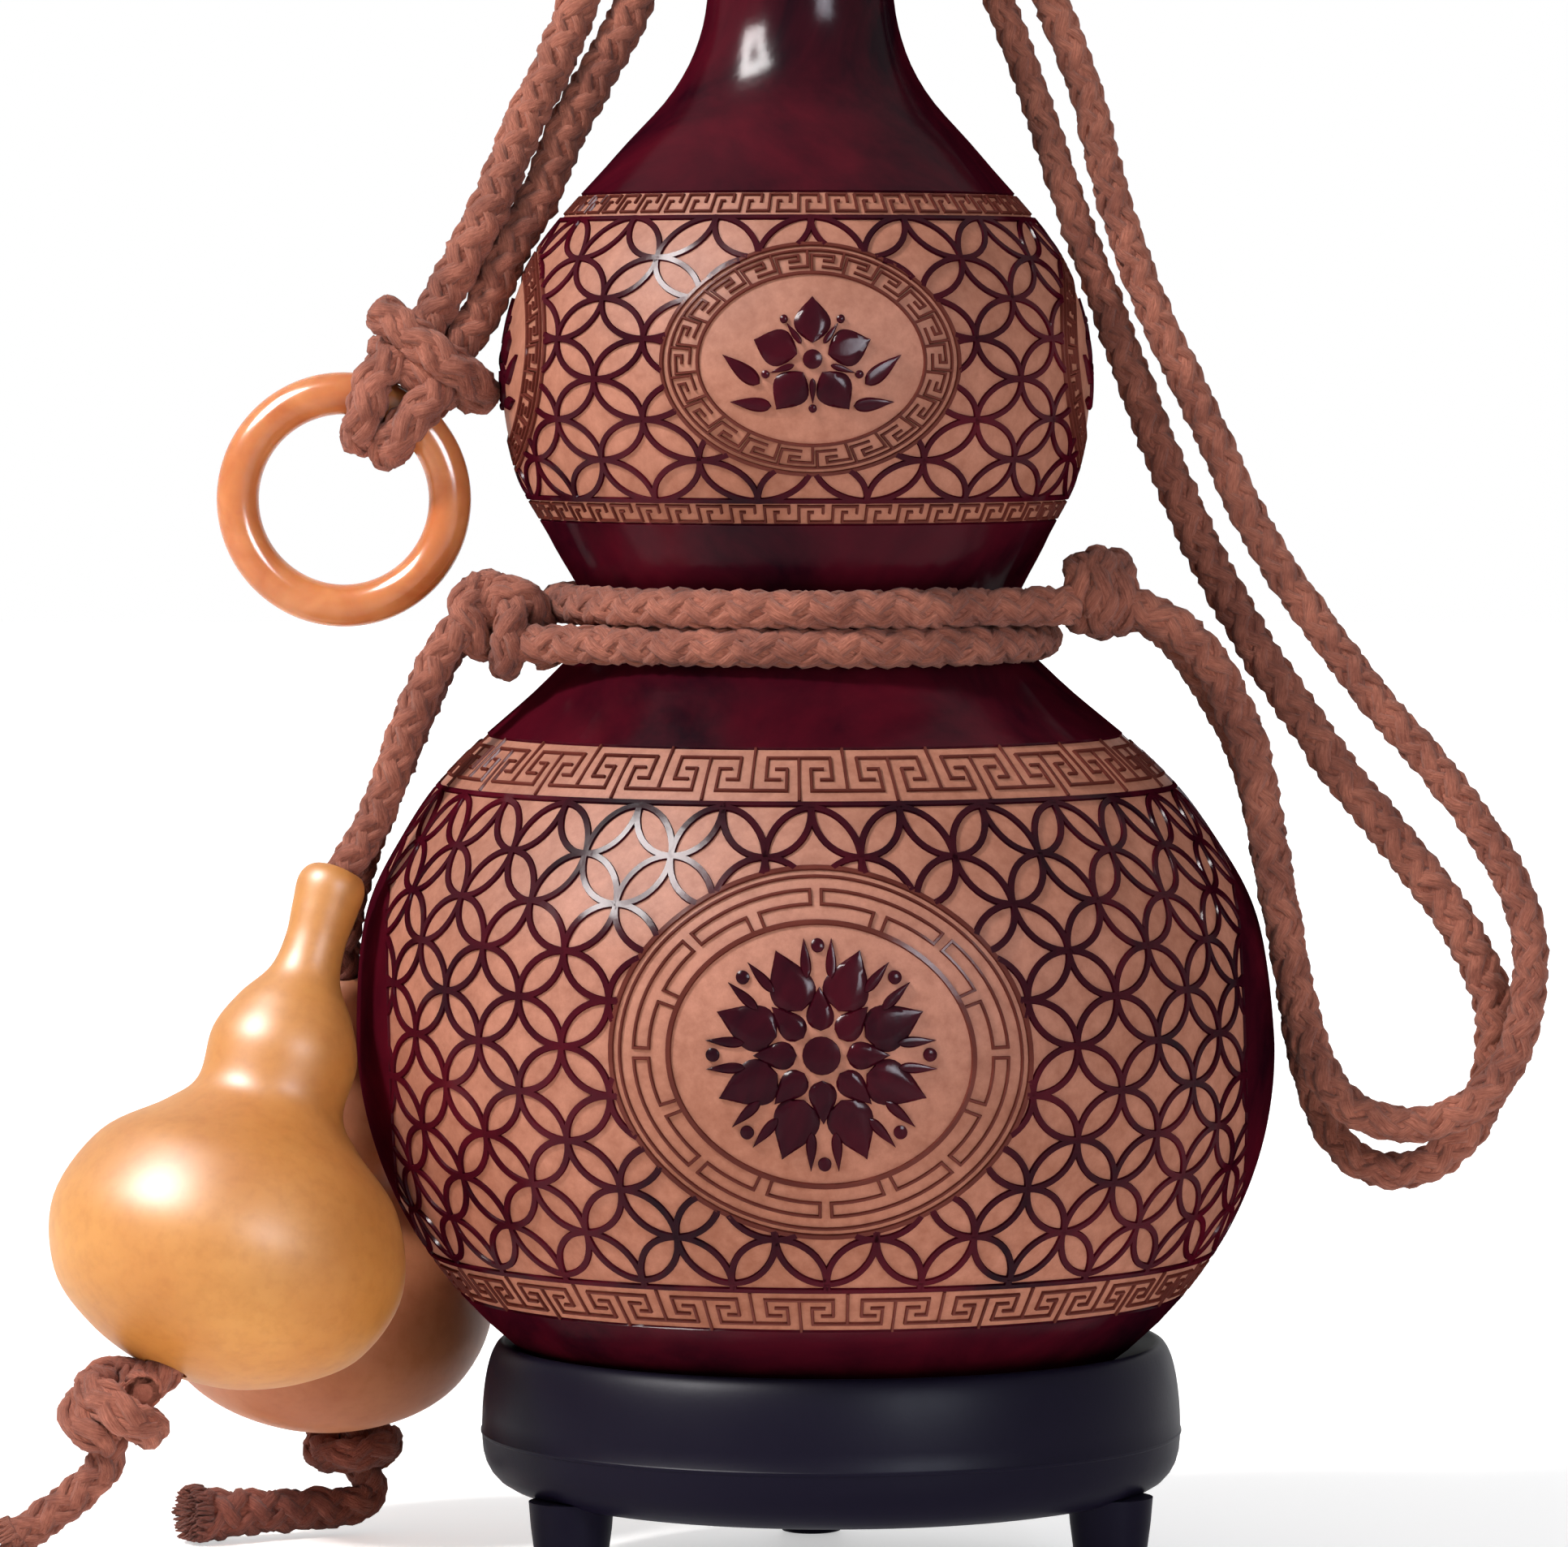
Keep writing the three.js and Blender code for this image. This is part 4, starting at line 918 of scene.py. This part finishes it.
# The two plain fields of lacquer at the sides of the belly, left uncut between the panels
carving = bmesh.new()
for side in (90, 270):
    grid = []
    for i in range(64):
        height = LOW_LATTICE[0] - 0.4 + (LOW_LATTICE[1] - LOW_LATTICE[0] + 0.8) * i / 63
        reach = 90 - panel_half(height)
        line = []
        for k in range(27):
            edge = k in (0, 26) or i in (0, 63)
            share = max(-1, min(1, (k - 13) / 12))
            azimuth = PANEL_TURN + side + (reach + (0.1 if edge else 0)) * share
            line.append(carving.verts.new(skin(azimuth, height, -LINE_FOOT if edge else 0)[0]))
        grid.append(line)
    faces_between(carving, grid)
finished_carving(carving, "plain_side_fields")


def finer(corners, step):
    """The same corners with places between them no more than a step of azimuth apart."""
    places = [corners[0]]
    for start, end in zip(corners, corners[1:]):
        count = max(1, math.ceil(abs(end[0] - start[0]) / step))
        places += [tuple(a + (b - a) * i / count for a, b in zip(start, end))
                   for i in range(1, count + 1)]
    return places


HOOKS = [
    [(0, 0), (0, 0.82)],
    [(-0.19, 0.41), (-0.35, 0.41), (-0.35, 0.82), (0.35, 0.82), (0.35, 0.41), (0.22, 0.41)],
    [(0.5, 1), (0.5, 0.2)],
    [(0.27, 0.61), (0.13, 0.61), (0.13, 0.2), (0.87, 0.2), (0.87, 0.61), (0.74, 0.61)],
]
carving = bmesh.new()
for (low, high), count, turn in ((LOW_BANDS[0], 26, -3.5), (LOW_BANDS[1], 24, -1.2)):
    wide = 360 / count
    for unit in range(count):
        for hook in HOOKS:
            corners = [(turn + (unit + x) * wide, low + (high - low) * y) for x, y in hook]
            carve_line(carving, finer(corners, 2.5), LOW_KEY)
finished_carving(carving, "lower_key_bands", fine_line)


def on_ring(roundel, radius, degrees):
    (middle, level), (wide, tall) = roundel
    turn = math.radians(degrees)
    return middle + wide * radius * math.sin(turn), level + tall * radius * math.cos(turn)


def ring_places(roundel, radius, start, stop):
    count = max(1, round(abs(stop - start) / 4))
    return [on_ring(roundel, radius, start + (stop - start) * i / count)
            for i in range(count + 1)]


def ring_lines(mesh, roundel, *rings):
    """Rings round a roundel, each given as (share of its radius, width)."""
    for radius, width in rings:
        carve_line(mesh, ring_places(roundel, radius, 0, 360)[:-1], width, closed=True)


carving = bmesh.new()
for roundel in LOW_ROUNDELS:
    ring_lines(carving, roundel, (1.0, 0.6), (0.955, 0.28), (0.715, 0.62))
    for middle in (22.5 + 45 * part for part in range(8)):
        places = [on_ring(roundel, 0.72, middle - 2.4)]
        for radius, start, stop in ((0.81, -2.4, -20.6), (0.885, -20.6, 20.6), (0.81, 20.6, 2.4)):
            places += ring_places(roundel, radius, middle + start, middle + stop)
        carve_line(carving, [*places, on_ring(roundel, 0.72, middle + 2.4)], 0.3)
finished_carving(carving, "lower_roundel_rings", fine_line)

# Upper bulb: a belt of linked circles all round, with four roundels, between two key bands
HIGH_ROUNDELS = [((HIGH_TURN + 90 * i, 170.6), (29.5, 15.65)) for i in range(4)]
HIGH_ROW = (HIGH_LATTICE[1] - HIGH_LATTICE[0]) / 7


def in_belt(azimuth, height):
    near = min(outside_roundel(azimuth, height, roundel) for roundel in HIGH_ROUNDELS)
    return min(height - HIGH_LATTICE[0], HIGH_LATTICE[1] - height, near)


carving = bmesh.new()
for column in range(32):
    for row in range(8):
        if (column + row) % 2 == 0:
            centre = (HIGH_TURN + column * HIGH_COLUMN, HIGH_LATTICE[0] + row * HIGH_ROW)
            circle_lines(carving, centre, (HIGH_COLUMN, HIGH_ROW), HIGH_LINE, in_belt)
for edge in HIGH_LATTICE:
    band_line(carving, edge, HIGH_EDGE)
finished_carving(carving, "upper_lattice")

KEY = [(0.48, 0.58), (0.33, 0.58), (0.33, 0.15), (1.04, 0.15), (1.04, 0.85), (1.75, 0.85),
       (1.75, 0.52)]
ROUND_KEYS = [
    [(0, 0), (0, 0.78), (0.62, 0.78), (0.62, 0.55), (0.32, 0.55)],
    [(0.88, 1), (0.88, 0.28), (0.3, 0.28)],
]
carving = bmesh.new()
for low, high in HIGH_BANDS:
    for unit in range(50):
        carve_line(carving, [(-0.2 + (unit + x) * 7.2, low + (high - low) * y) for x, y in KEY],
                   HIGH_KEY)
finished_carving(carving, "upper_key_bands", fine_line)

carving = bmesh.new()
for roundel in HIGH_ROUNDELS:
    ring_lines(carving, roundel, (1.0, 0.45), (0.945, 0.25), (0.75, 0.35))
    for unit in range(22):
        for key in ROUND_KEYS:
            carve_line(carving, [on_ring(roundel, 0.75 + 0.195 * y, (unit + x) * 360 / 22)
                                 for x, y in key], 0.25)
finished_carving(carving, "upper_roundel_rings", fine_line)


def from_centre(turn, reach):
    return Vector((reach * math.sin(math.radians(turn)), reach * math.cos(math.radians(turn))))


def on_field(centre, spot, rise):
    """Place on the gourd at a spot in millimetres from a roundel's centre."""
    middle, level = centre
    per_degree = math.radians(1) * gourd_radius(level)
    return skin(middle + spot[0] / per_degree, level + spot[1], rise)[0]


def petal(mesh, centre, start, turn, length, width, fullness=0.62):
    """A raised leaf shape from its start, a spot as above, to its tip."""
    along = from_centre(turn, 1)
    across = Vector((along.y, -along.x))
    grid = []
    for share in (i / 12 for i in range(13)):
        half = width / 2 * math.sin(math.pi * share ** fullness) + 0.04
        line = []
        for side in (-1 + k / 3 for k in range(7)):
            rise = -LINE_FOOT if abs(side) > 0.99 else 0.00002 + 0.00012 * (1 - side * side)
            spot = Vector(start) + along * length * share + across * half * side
            line.append(mesh.verts.new(on_field(centre, spot, rise)))
        grid.append(line)
    faces_between(mesh, grid)


def dot(mesh, centre, start, radius):
    rings = []
    for share, rise in ((1.04, -LINE_FOOT), (1, 0.00002), (0.6, 0.00018), (0.25, 0.00022)):
        edge = arc(start, (radius * share, radius * share), 0, 342, 19)
        rings.append([mesh.verts.new(on_field(centre, spot, rise)) for spot in edge])
    faces_between(mesh, rings, ring=True)
    mesh.faces.new(rings[-1])


def arc(centre, halves, start, stop, steps):
    points = []
    for i in range(steps + 1):
        turn = math.radians(start + (stop - start) * i / steps)
        points.append((centre[0] + halves[0] * math.cos(turn),
                       centre[1] + halves[1] * math.sin(turn)))
    return points


# A rosette in each lower roundel and a five-petalled blossom in each upper one
carving = bmesh.new()
for centre, _ in LOW_ROUNDELS:
    dot(carving, centre, (0, 0), 2.5)
    for turn in range(0, 360, 45):
        petal(carving, centre, from_centre(turn, 3.3), turn, 5.8, 3.9)
        petal(carving, centre, from_centre(turn + 22.5, 6.4), turn + 22.5, 8.6, 6.6)
        petal(carving, centre, from_centre(turn + 9, 10.4), turn + 3, 5.2, 1.5)
        petal(carving, centre, from_centre(turn - 9, 10.4), turn - 3, 5.2, 1.5)
        dot(carving, centre, from_centre(turn, 14.6), 0.9)
finished_carving(carving, "lower_rosettes")
carving = bmesh.new()
for centre, _ in HIGH_ROUNDELS:
    dot(carving, centre, (0, 0), 1.3)
    for turn in range(0, 360, 72):
        petal(carving, centre, from_centre(turn, 2.2), turn, 6.2, 5.4, 0.85)
        petal(carving, centre, from_centre(turn + 36, 2.6), turn + 36, 3.4, 0.9)
        dot(carving, centre, from_centre(turn + 36, 6.7), 0.55)
    for side in (-1, 1):
        petal(carving, centre, (side * 7.2, -3.4), side * 52, 6.4, 2.4)
        petal(carving, centre, (side * 5.6, -6.4), side * 84, 5.6, 2.0)
finished_carving(carving, "upper_blossoms")

# The stand
# One moulding of black plastic: a round seat that the belly rests in, a recess under it, and
# three short tapered legs. The mould's parting line runs round its side.

STAND_X = 2.2
SEAT_GAP = 1.3
SEAT_LOW, SEAT_HIGH = 26.6, 32
LEG_REACH = 43
LEG_OUTLINE = [(0, 0), (3.8, 0), (4.25, 0.12), (4.45, 0.5), (4.75, 3), (5.2, 7), (5.6, 10),
               (5.9, 13.6), (0, 13.6)]


def shifted(piece, x, y=0.0):
    """Moves the mesh inside its object, in millimetres, so that the object stays at the origin."""
    for vertex in piece.data.vertices:
        vertex.co += Vector((x, y, 0)) / 1000


stand_outline = [(0, 12), (30, 12), (39.5, 12.05), (41.6, 12.2), (43.6, 12.6), (45.3, 13.25),
                 (46.7, 14.1), (47.7, 15.2), (48.4, 16.5), (48.8, 18), (48.95, 19.6),
                 (48.98, 20.3), (49.14, 20.5), (49.16, 20.8), (49.02, 21)]
stand_outline += arc((46.0, 21), (3, 12.2), 12, 84, 14)
stand_outline += [(45.9, 33.24), (45.5, 33.1), (45.2, 32.7)]
stand_outline += [(gourd_radius(height) + SEAT_GAP, height) for height in (
    SEAT_LOW + (SEAT_HIGH - SEAT_LOW) * i / 8 for i in reversed(range(9)))]
stand_outline += [(31, 24.4), (30.3, 23.4), (30, 15.8), (29.6, 14.9), (28.5, 14.4), (0, 14.4)]
stand = spun("stand_seat", stand_outline, 96)
legs = [spun(f"stand_leg_{i}", LEG_OUTLINE, 40) for i in range(3)]
for i, leg in enumerate(legs):
    turn = math.radians(93.5 + 120 * i)
    shifted(leg, LEG_REACH * math.cos(turn), LEG_REACH * math.sin(turn))
pick(stand, *legs)
bpy.ops.object.join()
shifted(stand, STAND_X)
black, tree, place = new_material("black_plastic", (0.007, 0.0054, 0.0142), 0.4,
                                  Specular_IOR_Level=0.038)
grain = rough_height(tree, place["Object"], 1500.0, 3.0)
wear = rough_height(tree, place["Object"], 60.0, 5.0, 0.6)
feed(tree, Roughness=ranged(tree, wear, 0, 1, 0.34, 0.5), Normal=bump(tree, grain, 0.12, 0.0001))
stand.data.materials.append(black)
smooth_from(stand, 34)
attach(stand, "stand")
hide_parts("stand")

# The mouth collar
# A turned wooden collar glued over the cut neck. A bead keeps the strap up, and the strap's
# inner strand lies in its groove.

sleeve = across_at(UPPER_OUTLINE, 227) + 0.35
collar_outline = [(8.8, 248.2), (8.8, 240.3), (sleeve, 240.3), (sleeve, 227.15),
                  (sleeve + 0.2, 227), (sleeve + 1.8, 227)]
collar_outline += arc((sleeve + 2, 233), (18.4 - sleeve - 2, 5), -80, 0, 12)
collar_outline += arc((17.6, 233), (0.8, 1.5), 10, 90, 5)
collar_outline += [(16.6, 235), (15.2, 235.9), (14.2, 236.8), (13.8, 237.8), (13.75, 239),
                   (13.8, 240.5), (14.2, 241.8), (14.9, 242.6), (15.3, 243.4)]
collar_outline += arc((13.4, 246.5), (2, 2), -20, 90, 9)
collar_outline += [(9.3, 248.5)]
collar = spun("collar", collar_outline, 96, closed=True)
shifted(collar, NECK_X)
dark_wood, tree, place = new_material("dark_turned_wood", (0.045, 0.012, 0.008), 0.3,
                                      Specular_IOR_Level=0.1)
grain_map = node(tree, "Mapping", place["Object"], Scale=(1.0, 1.0, 0.16))
grain = mottled(tree, grain_map.outputs[0], 0.35, (0.024, 0.005, 0.004), 0.65,
                (0.1, 0.02, 0.014), Scale=900.0, Detail=5.0, Roughness=0.6)
feed(tree, Base_Color=grain.outputs["Color"],
     Normal=bump(tree, grain.outputs["Height"], 0.15, 0.0001))
collar.data.materials.append(dark_wood)
smooth_from(collar, 40)
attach(collar, "bottle")
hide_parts("mouth_collar")

# The stopper
# A turned cap with a knob and a small finial sits on a cork plug by a spigot. Two soft rings
# lie in the plug's grooves and close it in the mouth.

SEAL_HEIGHTS = {"seal_upper": 241.5, "seal_lower": 232.5}

cap_outline = [(0, 254.8), (4.5, 254.8), (4.5, 249), (4.7, 248.8), (14.2, 248.8)]
cap_outline += arc((13.8, 250.5), (1.6, 1.7), -75, 85, 12)
cap_outline += [(12.6, 252.5), (10.4, 253), (8.6, 253.9), (7.2, 255.4), (6.6, 256.8),
                (6.4, 257.8)]
cap_outline += arc((0, 267.3), (9.6, 8.8), -46, 70, 24)
cap_outline += [(3.05, 276.0), (2.95, 276.5), (2.9, 277.1), (2.2, 277.9), (1.2, 278.2),
                (0, 278.3)]
stopper_cap = spun("cap", cap_outline, 72)
plug_outline = [(0, 223.5), (7.2, 223.5), (8.1, 223.8), (8.4, 224.6)]
for height in reversed(SEAL_HEIGHTS.values()):
    plug_outline += [(8.4, height - 1.3), (6.35, height - 1.3), (6.35, height + 1.3),
                     (8.4, height + 1.3)]
plug_outline += [(8.4, 248.2), (8.1, 248.5), (4.2, 248.5), (4.2, 254.3), (4, 254.5), (0, 254.5)]
stopper_plug = spun("plug", plug_outline, 48)
seals = [spun(name, arc((7.65, height), (0.98, 0.96), 0, 330, 11), 64, closed=True)
         for name, height in SEAL_HEIGHTS.items()]
cork, tree, place = new_material("cork", (0.36, 0.2, 0.1), 0.85, Specular_IOR_Level=0.12)
pores = node(tree, "TexVoronoi", place["Object"], Scale=520.0)
grain = mottled(tree, place["Object"], 0.3, (0.2, 0.1, 0.045), 0.62, (0.45, 0.27, 0.14),
                Scale=380.0, Detail=4.0, Roughness=0.5)
feed(tree, Base_Color=grain.outputs["Color"],
     Normal=bump(tree, pores.outputs["Distance"], 0.4, 0.0003))
soft, tree, place = new_material("soft_silicone", (0.68, 0.66, 0.6), 0.5,
                                 Specular_IOR_Level=0.2, Subsurface_Weight=0.15,
                                 Subsurface_Scale=0.001)
dust = rough_height(tree, place["Object"], 700.0, 3.0)
feed(tree, Roughness=ranged(tree, dust, 0, 1, 0.4, 0.62))
for piece, material, slot_name, replaced in (
        (stopper_cap, dark_wood, "dark_wood", "stopper_cap"),
        (stopper_plug, cork, "cork", "stopper_plug"),
        (seals[0], soft, "silicone", "upper_seal"),
        (seals[1], soft, "silicone", "lower_seal")):
    shifted(piece, NECK_X)
    piece.data.materials.append(material)
    smooth_from(piece, 36)
    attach(piece, "stopper")
    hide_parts(replaced)

# The ring
# A cast ring of amber-coloured resin, polished, hanging in the two loops of its knot. Its
# inside is a little flatter than its outside.

ring_outline = []
for turn in (math.tau * i / 40 for i in range(40)):
    across = math.cos(turn) * RING_THICK * 500
    ring_outline.append((RING_RADIUS * 1000 + across * (0.9 if across < 0 else 1),
                         math.sin(turn) * RING_THICK * 500 * 0.98))
ring = spun("amber_ring", ring_outline, 128, closed=True)
for vertex in ring.data.vertices:
    x, y, z = vertex.co
    vertex.co = RING_CENTRE + Vector((x, -z, y))
amber, tree, place = new_material(
    "amber_resin", (0.72, 0.28, 0.07), 0.2, Specular_IOR_Level=0.25, Subsurface_Weight=0.35,
    Subsurface_Radius=(1.0, 0.4, 0.12), Subsurface_Scale=0.0016, Coat_Weight=0.12,
    Coat_Roughness=0.12)
clouds = mottled(tree, place["Object"], 0.3, (0.58, 0.16, 0.045), 0.72, (0.78, 0.3, 0.11),
                 Scale=120.0, Detail=4.0, Roughness=0.5, Distortion=0.8)
feed(tree, Base_Color=clouds.outputs["Color"])
ring.data.materials.append(amber)
smooth_from(ring, 60)
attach(ring, "ring")
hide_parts("ring")

# The small gourds
# Two small bottle gourds, dried and polished but left their own ochre colour. Each is hollow
# and drilled from its tip to its foot, and the pendant's cord goes through it.

SMALL_HOLE = 2.95
SMALL_SHARES = [
    (0, 0), (3.2, 0.006), (4.7, 0.035), (4.5, 0.09), (4.2, 0.15), (5, 0.215), (8.1, 0.28),
    (10.3, 0.354), (10.4, 0.45), (13.8, 0.508), (21.2, 0.597), (24.8, 0.737), (21.8, 0.868),
    (15.1, 0.945), (7, 0.99), (0, 1),
]


def small_gourd(name, tip, foot, cord_route):
    """Hollow gourd from tip to foot, drilled along the cord's own route."""
    tip, foot = Vector(tip) / 1000, Vector(foot) / 1000
    length = (foot - tip).length * 1000
    outside = through([(radius, -length * share) for radius, share in SMALL_SHARES], 7)
    inside = through([(radius - 2, -length * share + share - 1) for radius, share in SMALL_SHARES
                      if share > 0.21 and radius > 3], 4)
    piece = spun(name, [(0, 0), *outside[1:-1], (0, -length)], 96)
    hollow = spun(f"{name}_hollow", [(0, inside[0].y + 1.5), *inside, (0, -length + 2)], 48)
    turn = (tip - foot).to_track_quat("Z", "Y")
    for body, uneven in ((piece, 0.02), (hollow, 0)):
        for vertex in body.data.vertices:
            spot = vertex.co
            bumpy = noise.noise(spot * 38 + Vector((len(name), 0, 0)))
            reach = 1 + uneven * bumpy * min(1, Vector((spot.x, spot.y)).length / 0.009)
            vertex.co = turn @ Vector((spot.x * reach, spot.y * reach, spot.z)) + tip
        body.data.materials.append(ochre_skin)
    bore = bmesh.new()
    shapes = [round_shape(axes, 24, SMALL_HOLE / 1000) for axes in cord_frames(cord_route)]
    tube_into(bore, cord_route, shapes, 0.01, 0.0, bore.loops.layers.uv.new("cord"))
    for cutter in (hollow, piece_from(bore, f"{name}_bore", ochre_skin)):
        pick(piece)
        cutting = piece.modifiers.new("cut", "BOOLEAN")
        cutting.operation = "DIFFERENCE"
        cutting.object = cutter
        cutting.solver = "EXACT"
        bpy.ops.object.modifier_apply(modifier="cut")
        bpy.data.objects.remove(cutter)
    smooth_from(piece, 50)
    return piece


ochre_skin, tree, place = new_material(
    "ochre_gourd_skin", (0.68, 0.33, 0.085), 0.46, Specular_IOR_Level=0.3,
    Subsurface_Weight=0.12, Subsurface_Radius=(1.0, 0.5, 0.2), Subsurface_Scale=0.0015)
clouds = mottled(tree, place["Object"], 0.32, (0.58, 0.218, 0.042), 0.68, (0.73, 0.33, 0.085),
                 Scale=42.0, Detail=5.0, Roughness=0.55)
specks = mottled(tree, place["Object"], 0.3, (0.86, 0.8, 0.74), 0.55, (1, 1, 1),
                 Scale=480.0, Detail=4.0, Roughness=0.6)
feed(tree, Base_Color=tinted(tree, clouds.outputs["Color"], specks.outputs["Color"], 0.6),
     Normal=bump(tree, clouds.outputs["Height"], 0.08, 0.0003))
# Painted shade: the rear gourd gets a darker, redder copy of the ochre skin, for the shadow it
# hangs in
shade_painted_skin = retoned(ochre_skin, "shade_painted_gourd_skin", clouds, (0.4, 0.128, 0.055),
                      (0.57, 0.222, 0.098))
shade_painted_skin.node_tree.nodes["Principled BSDF"].inputs["Specular IOR Level"].default_value = 0.25
front_gourd = small_gourd("front_gourd", (-66, -17.5, 100.7), (-85.6, -32.4, 31.3),
                          front_cord_route)
rear_gourd = small_gourd("rear_gourd", (-67.2, 17.2, 84), (-72.7, 43, 18.2), rear_cord_route)
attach(front_gourd, "front_pendant")
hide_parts("front_small_gourd")
for slot in rear_gourd.material_slots:
    slot.material = shade_painted_skin
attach(rear_gourd, "rear_pendant")
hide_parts("rear_small_gourd")
